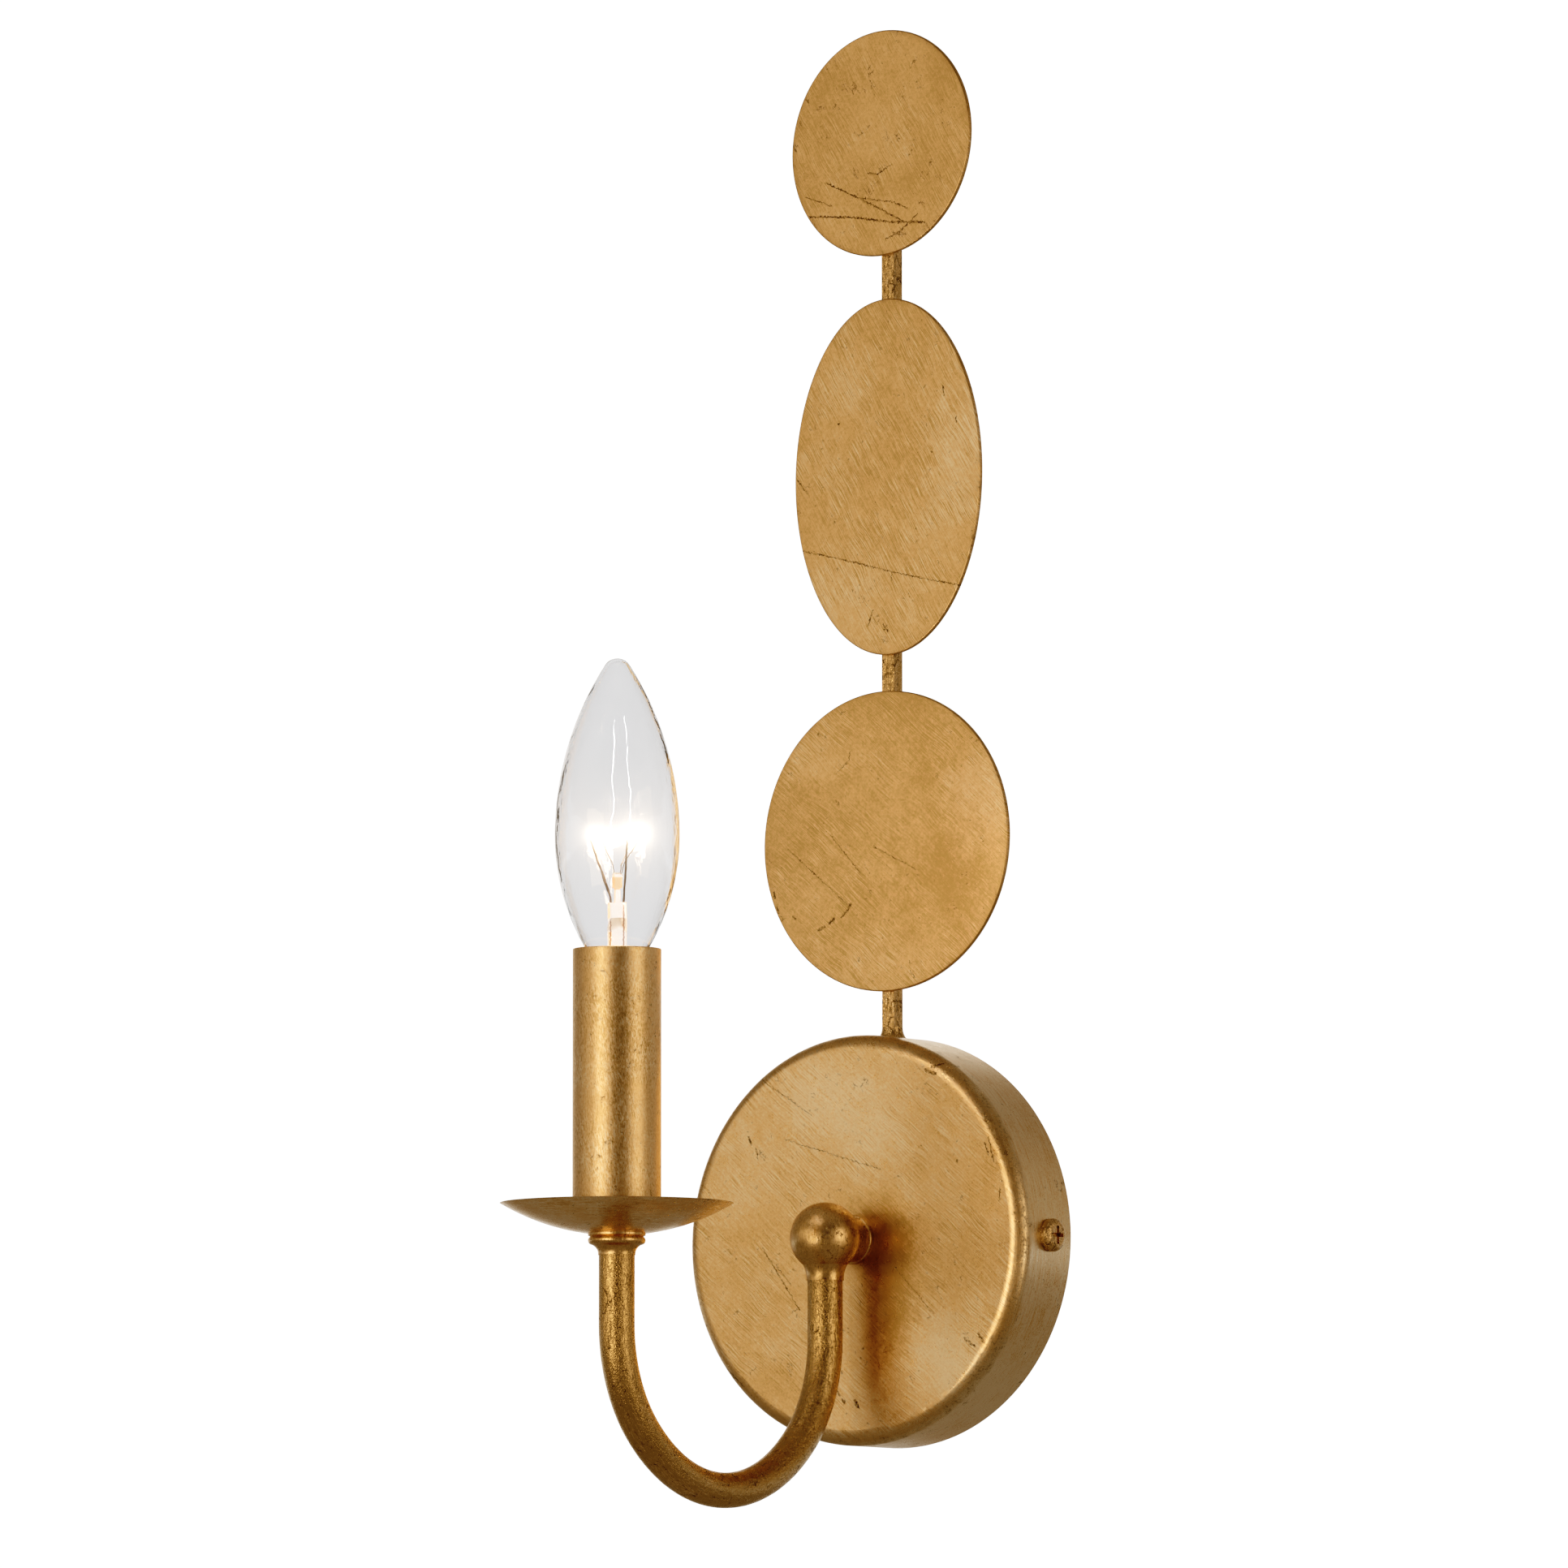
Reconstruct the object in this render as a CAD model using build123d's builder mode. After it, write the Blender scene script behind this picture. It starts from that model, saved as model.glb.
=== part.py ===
from build123d import *
import math
import os

# Wall light with one candle-style lamp: a round canopy carries a U-shaped arm and, above it,
# a square bar with three flat plates. Millimetres, +Z up, the wall is the plane Y = 0 and the
# room is towards -Y. The origin is the centre of the canopy's back rim.

os.makedirs("parts", exist_ok=True)

# Canopy and its fixing
canopy_radius = 60.3
canopy_depth = 25.0
canopy_wall = 1.2
canopy_edge_radius = 4.5
side_screw_y = -10.8
side_screw_radius = 2.4
side_screw_head_radius = 4.85
side_screw_head_height = 2.9
side_screw_length = 10.0
screw_clearance = 0.2
tapped_clearance = 0.05
bracket_reach = 58.4
bracket_width = 16.0
bracket_thickness = 2.0
bracket_tab_depth = 16.0
bracket_bend_radius = 1.5
box_screw_spacing_small = 69.85
box_screw_spacing_large = 88.9
box_slot_width = 5.0
bracket_centre_hole_radius = 5.3
ground_screw_x = 20.0
ground_screw_washer_radius = 4.9
ground_screw_washer_thickness = 0.8
ground_screw_hex_radius = 3.95
ground_screw_hex_height = 2.6

# Arm
pipe_radius = 5.15
pipe_bore_radius = 3.45
pipe_clearance = 0.15
nut_radius = 7.0
nipple_radius = 5.1
nipple_bore_radius = 3.25
nipple_inner_y = -14.0
nipple_outer_y = -34.0
ball_radius = 10.3
ball_y = -39.0
arm_half_span = 51.4
arm_corner_radius = 42.0
arm_corner_turn = 45.0
arm_bend_z = -29.5
arm_rear_top_z = -7.0
arm_front_top_z = 2.6
lug_ring_radius = 7.6
lug_tongue_width = 3.6
lug_tongue_end_x = 11.0
lug_thickness = 0.8
washer_radius = 8.0
washer_thickness = 1.0
washer_teeth = 14
nut_height = 4.0
neck_flange_radius = 7.25
neck_flange_thickness = 1.3
neck_radius = 6.6
fairing_top_z = -8.0
fairing_bottom_z = -12.6
fairing_waist_radius = 5.75
fairing_waist_z = -9.8
fairing_bottom_radius = 5.5
candle_y = ball_y - 2 * arm_half_span

# Candle
collar_top_z = -3.5
collar_bottom_z = -9.7
collar_radius = 8.25
collar_groove_radius = 7.6
collar_bead_bottom_radius = 7.4
collar_flare_radius = 6.0
collar_tip_radius = 5.35
dish_radius = 33.5
dish_rim_z = 5.2
dish_flat_radius = 8.4
dish_middle_radius = 22.0
dish_sheet = 0.6
locknut_height = 2.5
sleeve_radius = 12.7
sleeve_wall = 0.8
sleeve_top_z = 78.1
sleeve_seat_gap = 0.05

# Socket
strap_base_radius = 8.5
strap_base_height = 3.0
strap_thickness = 1.0
strap_width = 7.0
strap_offset = 9.6
strap_top_z = 52.0
rivet_z = 44.0
rivet_radius = 1.5
rivet_head_radius = 2.2
rivet_head_height = 0.4
rivet_depth = 5.0
socket_radius = 9.5
socket_bottom_z = 36.0
socket_floor_z = 48.0
socket_shoulder_z = 68.0
socket_top_z = 71.0
socket_bore_radius = 6.6
socket_mouth_radius = 7.5
shell_crest_radius = 6.15
shell_root_radius = 6.4
shell_turns = 7
tongue_strip = 0.4
tongue_half_width = 2.0
thread_pitch = 2.54
thread_run_in = 0.6

# Lamp
bulb_radius = 17.95
bulb_widest_z = 110.7
bulb_upper_curve = 91.0
bulb_lower_curve = 64.0
bulb_tip_curve = 4.2
bulb_neck_radius = 6.5
bulb_neck_bend = 4.0
bulb_bottom_z = 71.6
bulb_mouth_radius = 9.9
bulb_glass = 0.7
lamp_base_bottom_z = 54.5
lamp_base_sheet = 0.3
lamp_base_turns = 5
lamp_base_rim_radius = 6.95
lamp_contact_z = 50.1
lamp_contact_radius = 2.4
stem_radius = 2.8
stem_flare_radius = 5.75
stem_flare_rim = 0.6
press_half_width = 3.3
press_half_thickness = 1.4
press_bottom_z = 83.0
press_shoulder_z = 87.0
press_top_z = 91.5
rod_radius = 1.0
button_radius = 1.5
button_bottom_z = 95.6
button_top_z = 100.0
lamp_lead_radius = 0.3
lamp_lead_foot_x = 2.2
lamp_lead_knee_x = 2.4
anchor_radius = 0.12
anchor_root = 1.3
anchor_elbow = 2.0
anchor_elbow_z = 102.5
filament_radius = 7.7
filament_coil_radius = 0.35
filament_z = 110.0
filament_gap_angle = 58.5

# Spine and plates
bar_width = 4.3
bar_front_y = -6.9
bar_top_z = 345.0
weld_reach = 4.6
weld_height = 3.2
weld_sink = 0.5
weld_top_radius = 3.05
weld_waist_radius = 3.55
weld_waist_height = 0.9
bead_leg = 1.5
bead_length = 13.0
top_bead_centre_z = 321.0
top_bead_half_spacing = 10.0
plate_thickness = 1.5
plate_edge_radius = 0.35
lower_disc_centre_z = 118.4
lower_disc_width = 43.9
lower_disc_height = 44.4
oval_centre_x = 0.8
oval_centre_z = 226.4
oval_width = 33.4
oval_height = 52.9
top_disc_centre_x = -1.6
top_disc_centre_z = 325.9
top_disc_width = 31.8
top_disc_height = 33.9
top_disc_roll = -23.5

# Wiring
lead_radius = 1.0
lead_spacing = 2.1
lead_turn_z = -5.0
lead_entry_y = -11.0
lead_bend_radii = [6, 4, 5]
connector_x = 15.0
connector_y = -9.5
connector_top_z = -24.0
connector_length = 17.0
connector_mouth_radius = 4.5
connector_tip_radius = 3.0
ground_wire_radius = 0.8
ground_wire_turn = 9.0
ground_wire_overrun = 4.0
ground_wire_bends = [5, 4]

# Half sections turned about the candle's axis are drawn in this plane, with x as the radius and y as Z.
candle_plane = Plane.XZ.offset(-candle_y)
candle_axis = Axis((0, candle_y, 0), (0, 0, 1))


def finish(builder, name):
    """Labels a finished piece and writes it to its own file."""
    builder.part.label = name
    export_step(builder.part, f"parts/{name}.step")


def tube_along(points, radii, radius):
    """A round wire of the given radius along straight runs joined by tangent arcs."""
    with BuildPart() as wire:
        with BuildLine() as route:
            FilletPolyline(*points, radius=radii)
        with BuildSketch(Plane(origin=route.line @ 0, z_dir=route.line % 0)):
            Circle(radius)
        sweep()
    return wire.part


# Canopy: a spun pan, open at the back, with a hole for the arm and one each side for its screws.
with BuildPart() as canopy:
    with BuildSketch(Plane.XZ):
        Circle(canopy_radius)
    extrude(amount=canopy_depth)
    fillet(canopy.faces().sort_by(Axis.Y)[0].edges(), canopy_edge_radius)
    offset(amount=-canopy_wall, openings=canopy.faces().sort_by(Axis.Y)[-1])
    with BuildSketch(Plane.XZ.offset(canopy_depth)):
        Circle(nipple_radius + pipe_clearance)
    extrude(amount=-2 * canopy_wall, mode=Mode.SUBTRACT)
    with BuildSketch(Plane.YZ):
        with Locations((side_screw_y, 0)):
            Circle(side_screw_radius + screw_clearance)
    extrude(amount=canopy_radius + canopy_wall, both=True, mode=Mode.SUBTRACT)
finish(canopy, "canopy")

# Mounting bracket: a crossbar with slots for the outlet box screws and a tapped tab at each end.
slot_centre = (box_screw_spacing_small + box_screw_spacing_large) / 4
slot_length = (box_screw_spacing_large - box_screw_spacing_small) / 2 + box_slot_width
with BuildPart() as mounting_bracket:
    with BuildSketch(Plane.XZ):
        Rectangle(2 * bracket_reach, bracket_width)
    extrude(amount=bracket_tab_depth)
    with BuildSketch(Plane.XZ.offset(bracket_thickness)):
        Rectangle(2 * (bracket_reach - bracket_thickness), bracket_width)
    extrude(amount=bracket_tab_depth, mode=Mode.SUBTRACT)
    inside_x = bracket_reach - bracket_thickness / 2
    inner_bends = mounting_bracket.edges().filter_by(Axis.Z).filter_by_position(Axis.X, -inside_x, inside_x)
    fillet(inner_bends, bracket_bend_radius)
    with BuildSketch(Plane.XZ):
        with Locations((-slot_centre, 0), (slot_centre, 0)):
            SlotOverall(slot_length, box_slot_width)
        Circle(bracket_centre_hole_radius)
        with Locations((ground_screw_x, 0)):
            Circle(side_screw_radius + tapped_clearance)
    extrude(amount=bracket_thickness, mode=Mode.SUBTRACT)
    with BuildSketch(Plane.YZ):
        with Locations((side_screw_y, 0)):
            Circle(side_screw_radius + tapped_clearance)
    extrude(amount=bracket_reach, both=True, mode=Mode.SUBTRACT)
finish(mounting_bracket, "mounting_bracket")


def pan_screw(seat, head_radius, head_height, length):
    """A cross-recess pan head screw whose head stands on the seat plane, with its shank below it."""
    recess_length = 1.1 * head_radius
    recess_width = 0.22 * head_radius
    recess_depth = 0.55 * head_height
    crown_radius = 0.6 * head_height
    with BuildPart() as screw:
        with BuildSketch(seat):
            Circle(head_radius)
        extrude(amount=head_height)
        top_face = screw.faces().sort_by(Axis(seat.origin, seat.z_dir))[-1]
        fillet(top_face.edges(), crown_radius)
        with BuildSketch(seat.offset(head_height)):
            Rectangle(recess_length, recess_width)
            Rectangle(recess_width, recess_length)
        extrude(amount=-recess_depth, taper=6, mode=Mode.SUBTRACT)
        with BuildSketch(seat):
            Circle(side_screw_radius)
        extrude(amount=-length)
    return screw.part


side_screws = []
for side in (-1, 1):
    seat = Plane(origin=(side * canopy_radius, side_screw_y, 0), z_dir=(side, 0, 0))
    side_screws.append(pan_screw(seat, side_screw_head_radius, side_screw_head_height, side_screw_length))

# Canopy screws: one each side, through the canopy into the bracket's tabs.
with BuildPart() as canopy_screws:
    for screw in side_screws:
        add(screw)
finish(canopy_screws, "canopy_screws")

# Ground screw: a hex washer head with room under it for the ground wire.
ground_gap = 2 * ground_wire_radius + 0.1
ground_seat_y = bracket_thickness + ground_gap
with BuildPart() as ground_screw:
    with BuildSketch(Plane.XZ.offset(ground_seat_y)):
        with Locations((ground_screw_x, 0)):
            Circle(ground_screw_washer_radius)
    extrude(amount=ground_screw_washer_thickness)
    with BuildSketch(Plane.XZ.offset(ground_seat_y + ground_screw_washer_thickness)):
        with Locations((ground_screw_x, 0)):
            RegularPolygon(radius=ground_screw_hex_radius, side_count=6, major_radius=False)
    extrude(amount=ground_screw_hex_height)
    chamfer(ground_screw.faces().sort_by(Axis.Y)[0].edges(), 0.4)
    with BuildSketch(Plane.XZ.offset(ground_seat_y)):
        with Locations((ground_screw_x, 0)):
            Circle(side_screw_radius)
    extrude(amount=-ground_seat_y)
finish(ground_screw, "ground_screw")

# Threaded nipple that ties the arm's ball to the canopy.
with BuildPart() as arm_nipple:
    with BuildSketch(Plane.XZ.offset(-nipple_inner_y)):
        Circle(nipple_radius)
        Circle(nipple_bore_radius, mode=Mode.SUBTRACT)
    extrude(amount=nipple_inner_y - nipple_outer_y)
    chamfer(arm_nipple.edges().filter_by(GeomType.CIRCLE).group_by(SortBy.RADIUS)[-1], 0.4)
finish(arm_nipple, "arm_nipple")

# Ground lug: a ring terminal under the arm's nut, with a crimp barrel for the ground wire.
lug_y = canopy_depth - canopy_wall
barrel_radius = 1.5
barrel_start_x = 9.0
barrel_end_x = 14.0
barrel_y = barrel_radius - lug_y
with BuildPart() as ground_lug:
    with BuildSketch(Plane.XZ.offset(lug_y - lug_thickness)):
        Circle(lug_ring_radius)
        with Locations((lug_tongue_end_x / 2, 0)):
            Rectangle(lug_tongue_end_x, lug_tongue_width)
        Circle(nipple_radius + pipe_clearance, mode=Mode.SUBTRACT)
    extrude(amount=lug_thickness)
    with BuildSketch(Plane.YZ.offset(barrel_start_x)):
        with Locations((barrel_y, 0)):
            Circle(barrel_radius)
    extrude(amount=barrel_end_x - barrel_start_x)
finish(ground_lug, "ground_lug")

# Lock washer with teeth round its outer edge.
washer_front = lug_y - lug_thickness
with BuildPart() as arm_lock_washer:
    with BuildSketch(Plane.XZ.offset(washer_front - washer_thickness)):
        Circle(washer_radius)
        Circle(nipple_radius + pipe_clearance, mode=Mode.SUBTRACT)
        with PolarLocations(washer_radius, washer_teeth):
            Rectangle(washer_radius / 4, washer_radius / 9, mode=Mode.SUBTRACT)
    extrude(amount=washer_thickness)
finish(arm_lock_washer, "arm_lock_washer")

# Hex nut that clamps the arm to the canopy.
nut_front = washer_front - washer_thickness
with BuildPart() as arm_nut:
    with BuildSketch(Plane.XZ.offset(nut_front - nut_height)):
        RegularPolygon(radius=nut_radius, side_count=6, major_radius=False)
        Circle(nipple_radius, mode=Mode.SUBTRACT)
    extrude(amount=nut_height)
    chamfer(arm_nut.faces().sort_by(Axis.Y)[-1].outer_wire().edges(), 0.6)
finish(arm_nut, "arm_nut")

# Neck: a flanged spacer between the canopy's face and the ball, hollowed to the ball's curve.
neck_length = -ball_y - ball_radius / 2 - canopy_depth - neck_flange_thickness
with BuildPart() as ball_neck:
    with BuildSketch(Plane.XZ.offset(canopy_depth)):
        Circle(neck_flange_radius)
    extrude(amount=neck_flange_thickness)
    fillet(ball_neck.faces().sort_by(Axis.Y)[0].edges(), 0.5)
    with BuildSketch(Plane.XZ.offset(canopy_depth + neck_flange_thickness)):
        Circle(neck_radius)
    extrude(amount=neck_length)
    with Locations((0, ball_y, 0)):
        Sphere(ball_radius, mode=Mode.SUBTRACT)
    with BuildSketch(Plane.XZ.offset(canopy_depth)):
        Circle(nipple_radius)
    extrude(amount=neck_flange_thickness + neck_length, mode=Mode.SUBTRACT)
finish(ball_neck, "ball_neck")

# Ball: turns the wireway from the canopy down into the arm, with a short fairing round the pipe.
fairing_top_radius = math.sqrt(ball_radius**2 - fairing_top_z**2)
with BuildPart() as arm_ball:
    with Locations((0, ball_y, 0)):
        Sphere(ball_radius)
    with BuildSketch(Plane.XZ.offset(-ball_y)):
        with BuildLine():
            Polyline((0, fairing_bottom_z), (0, fairing_top_z / 2), (fairing_top_radius, fairing_top_z))
            ThreePointArc(
                (fairing_top_radius, fairing_top_z),
                (fairing_waist_radius, fairing_waist_z),
                (fairing_bottom_radius, fairing_bottom_z),
            )
            Line((fairing_bottom_radius, fairing_bottom_z), (0, fairing_bottom_z))
        make_face()
    revolve(axis=Axis((0, ball_y, 0), (0, 0, 1)))
    with BuildSketch(Plane.XY.offset(arm_rear_top_z)):
        with Locations((0, ball_y)):
            Circle(pipe_radius)
    extrude(amount=fairing_bottom_z, mode=Mode.SUBTRACT)
    with BuildSketch(Plane.XY.offset(arm_rear_top_z)):
        with Locations((0, ball_y)):
            Circle(pipe_bore_radius)
    extrude(amount=-arm_rear_top_z + nipple_bore_radius, mode=Mode.SUBTRACT)
    with BuildSketch(Plane.XZ.offset(-nipple_outer_y)):
        Circle(nipple_radius)
    extrude(amount=nipple_outer_y - nipple_inner_y - 2 * nipple_radius, mode=Mode.SUBTRACT)
    with BuildSketch(Plane.XZ.offset(-nipple_outer_y)):
        Circle(nipple_bore_radius)
    extrude(amount=nipple_outer_y - ball_y, mode=Mode.SUBTRACT)
finish(arm_ball, "arm_ball")

# Arm: one pipe bent into a U, threaded into the ball at the rear and up through the dish in front.
# The bend is a corner, a flatter bottom and a second corner, each tangent to the next.
corner_angle = math.radians(arm_corner_turn)
corner_rise = arm_corner_radius * (1 - math.cos(corner_angle))
arm_bottom_radius = (arm_half_span - corner_rise) / math.cos(corner_angle)
arm_bottom_centre_z = arm_bend_z + (arm_bottom_radius - arm_corner_radius) * math.sin(corner_angle)
half_circle = 180.0
arm_arcs = (
    (ball_y - arm_corner_radius, arm_bend_z, arm_corner_radius, 0.0, arm_corner_turn),
    (
        ball_y - arm_half_span,
        arm_bottom_centre_z,
        arm_bottom_radius,
        arm_corner_turn,
        half_circle - arm_corner_turn,
    ),
    (candle_y + arm_corner_radius, arm_bend_z, arm_corner_radius, half_circle - arm_corner_turn, half_circle),
)


def arm_bend(x):
    """Draws the centre line of the arm's bend at one X, from the rear leg to the front one."""
    for centre_y, centre_z, radius, start, end in arm_arcs:
        places = []
        for turn in (start, (start + end) / 2, end):
            angle = math.radians(turn)
            places.append((x, centre_y + radius * math.cos(angle), centre_z - radius * math.sin(angle)))
        ThreePointArc(*places)


rear_top = (0, ball_y, arm_rear_top_z)
front_top = (0, candle_y, arm_front_top_z)
with BuildPart() as arm_tube:
    with BuildLine():
        Line(rear_top, (0, ball_y, arm_bend_z))
        arm_bend(0)
        Line((0, candle_y, arm_bend_z), front_top)
    with BuildSketch(Plane(origin=rear_top, z_dir=(0, 0, -1))):
        Circle(pipe_radius)
        Circle(pipe_bore_radius, mode=Mode.SUBTRACT)
    sweep()
finish(arm_tube, "arm_tube")

# Collar: a turned ring on the arm, with a thin flange, a groove, a bead and a flare onto the pipe.
with BuildPart() as arm_collar:
    with BuildSketch(candle_plane):
        with BuildLine():
            flange_foot = (collar_radius, collar_top_z - 0.6)
            groove = (collar_groove_radius, collar_top_z - 1.0)
            bead = (collar_radius, collar_top_z - 2.1)
            bead_foot = (collar_bead_bottom_radius, collar_top_z - 3.2)
            flare = (collar_flare_radius, collar_top_z - 4.1)
            tip = (collar_tip_radius, collar_bottom_z)
            inner_foot = (pipe_radius, collar_bottom_z)
            Polyline(
                inner_foot, (pipe_radius, collar_top_z), (collar_radius, collar_top_z), flange_foot, groove
            )
            ThreePointArc(groove, bead, bead_foot)
            ThreePointArc(bead_foot, flare, tip)
            Line(tip, inner_foot)
        make_face()
    revolve(axis=candle_axis)
finish(arm_collar, "arm_collar")

# Drip dish: a thin spherical cap with a flat seat clamped on the collar.
dish_centre_z = (dish_radius**2 - dish_flat_radius**2 + dish_rim_z**2 - collar_top_z**2) / (
    2 * (dish_rim_z - collar_top_z)
)
dish_curve = math.hypot(dish_radius, dish_centre_z - dish_rim_z)


def dish_height(radius, curve):
    """Z of the dish's surface of the given spherical radius, at a distance from the candle's axis."""
    return dish_centre_z - math.sqrt(curve**2 - radius**2)


inner_curve = dish_curve - dish_sheet
seat_z = collar_top_z + dish_sheet
inner_seat_radius = math.sqrt(inner_curve**2 - (dish_centre_z - seat_z) ** 2)
inner_rim_radius = math.sqrt(inner_curve**2 - (dish_centre_z - dish_rim_z) ** 2)
dish_hole_radius = pipe_radius + pipe_clearance
with BuildPart() as bobeche:
    with BuildSketch(candle_plane):
        with BuildLine():
            Polyline(
                (inner_seat_radius, seat_z),
                (dish_hole_radius, seat_z),
                (dish_hole_radius, collar_top_z),
                (dish_flat_radius, collar_top_z),
            )
            ThreePointArc(
                (dish_flat_radius, collar_top_z),
                (dish_middle_radius, dish_height(dish_middle_radius, dish_curve)),
                (dish_radius, dish_rim_z),
            )
            Line((dish_radius, dish_rim_z), (inner_rim_radius, dish_rim_z))
            ThreePointArc(
                (inner_rim_radius, dish_rim_z),
                (dish_middle_radius, dish_height(dish_middle_radius, inner_curve)),
                (inner_seat_radius, seat_z),
            )
        make_face()
    revolve(axis=candle_axis)
finish(bobeche, "bobeche")

# Hex locknut that clamps the dish to the collar.
strap_base_z = seat_z + locknut_height
with BuildPart() as bobeche_locknut:
    with BuildSketch(Plane.XY.offset(seat_z)):
        with Locations((0, candle_y)):
            RegularPolygon(radius=nut_radius, side_count=6, major_radius=False)
            Circle(pipe_radius, mode=Mode.SUBTRACT)
    extrude(amount=locknut_height)
    chamfer(bobeche_locknut.faces().sort_by(Axis.Z)[-1].outer_wire().edges(), 0.5)
finish(bobeche_locknut, "bobeche_locknut")

# Socket strap: a tapped base on the arm's end with one upright strip, riveted to the socket.
strap_outer = strap_offset + strap_thickness
with BuildPart() as socket_strap:
    with BuildSketch(Plane.XY.offset(strap_base_z)):
        with Locations((0, candle_y)):
            Circle(strap_base_radius)
        with Locations((0, candle_y + strap_outer / 2)):
            Rectangle(strap_width, strap_outer)
        with Locations((0, candle_y)):
            Circle(pipe_radius, mode=Mode.SUBTRACT)
    extrude(amount=strap_base_height)
    with BuildSketch(Plane.XY.offset(strap_base_z)):
        with Locations((0, candle_y + strap_offset + strap_thickness / 2)):
            Rectangle(strap_width, strap_thickness)
    extrude(amount=strap_top_z - strap_base_z)
    with BuildSketch(Plane.XZ.offset(-(candle_y + strap_outer))):
        with Locations((0, rivet_z)):
            Circle(rivet_radius)
    extrude(amount=strap_thickness, mode=Mode.SUBTRACT)
finish(socket_strap, "socket_strap")

# Socket body: a phenolic cup, stepped for the screw shell and the lamp's base rim.
with BuildPart() as socket_body:
    with BuildSketch(candle_plane):
        with BuildLine():
            Polyline(
                (0, socket_bottom_z),
                (socket_radius, socket_bottom_z),
                (socket_radius, socket_top_z),
                (socket_mouth_radius, socket_top_z),
                (socket_mouth_radius, socket_shoulder_z),
                (socket_bore_radius, socket_shoulder_z),
                (socket_bore_radius, socket_floor_z),
                (0, socket_floor_z),
                close=True,
            )
        make_face()
    revolve(axis=candle_axis)
    with BuildSketch(Plane.XZ.offset(-(candle_y + strap_offset))):
        with Locations((0, rivet_z)):
            Circle(rivet_radius)
    extrude(amount=rivet_depth - strap_thickness, mode=Mode.SUBTRACT)
finish(socket_body, "socket_body")

# Rivet that fixes the strap to the socket body.
with BuildPart() as strap_rivet:
    with BuildSketch(Plane.XZ.offset(-(candle_y + strap_outer))):
        with Locations((0, rivet_z)):
            Circle(rivet_head_radius)
    extrude(amount=-rivet_head_height)
    with BuildSketch(Plane.XZ.offset(-(candle_y + strap_outer))):
        with Locations((0, rivet_z)):
            Circle(rivet_radius)
    extrude(amount=rivet_depth)
finish(strap_rivet, "strap_rivet")

# Screw shell of the socket: thin brass with rolled thread rings, clear of the lamp's own thread.
shell_bottom_z = socket_floor_z + 1.0
thread_start_z = shell_bottom_z + thread_run_in
crest_points = []
for turn in range(shell_turns):
    ring_z = thread_start_z + turn * thread_pitch
    crest_points += [(shell_crest_radius, ring_z), (shell_root_radius, ring_z + thread_pitch / 2)]
crest_points.append((shell_crest_radius, thread_start_z + shell_turns * thread_pitch))
with BuildPart() as socket_shell:
    with BuildSketch(candle_plane):
        with BuildLine():
            Polyline(
                (socket_bore_radius, shell_bottom_z),
                (shell_crest_radius, shell_bottom_z),
                *crest_points,
                (socket_bore_radius, crest_points[-1][1]),
                close=True,
            )
        make_face()
    revolve(axis=candle_axis)
finish(socket_shell, "socket_shell")

# Centre contact of the socket: a bent brass tongue on the socket's floor.
tongue_top_z = lamp_contact_z - 0.1
tongue_bottom_z = tongue_top_z - tongue_strip
foot_top_z = socket_floor_z + tongue_strip
with BuildPart() as socket_contact:
    with BuildSketch(candle_plane):
        with BuildLine():
            Polyline(
                (-4.5, socket_floor_z),
                (-2.6, socket_floor_z),
                (-1.6, tongue_bottom_z),
                (2.2, tongue_bottom_z),
                (2.2, tongue_top_z),
                (-1.9, tongue_top_z),
                (-2.9, foot_top_z),
                (-4.5, foot_top_z),
                close=True,
            )
        make_face()
    extrude(amount=tongue_half_width, both=True)
finish(socket_contact, "socket_contact")

# Candle sleeve: a thin metal tube that stands loose in the dish and hides the socket.
sleeve_bottom_z = dish_height(sleeve_radius, inner_curve) + sleeve_seat_gap
with BuildPart() as candle_sleeve:
    with BuildSketch(Plane.XY.offset(sleeve_bottom_z)):
        with Locations((0, candle_y)):
            Circle(sleeve_radius)
            Circle(sleeve_radius - sleeve_wall, mode=Mode.SUBTRACT)
    extrude(amount=sleeve_top_z - sleeve_bottom_z)
    fillet(candle_sleeve.faces().sort_by(Axis.Z)[-1].edges(), 0.3)
finish(candle_sleeve, "candle_sleeve")


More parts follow.
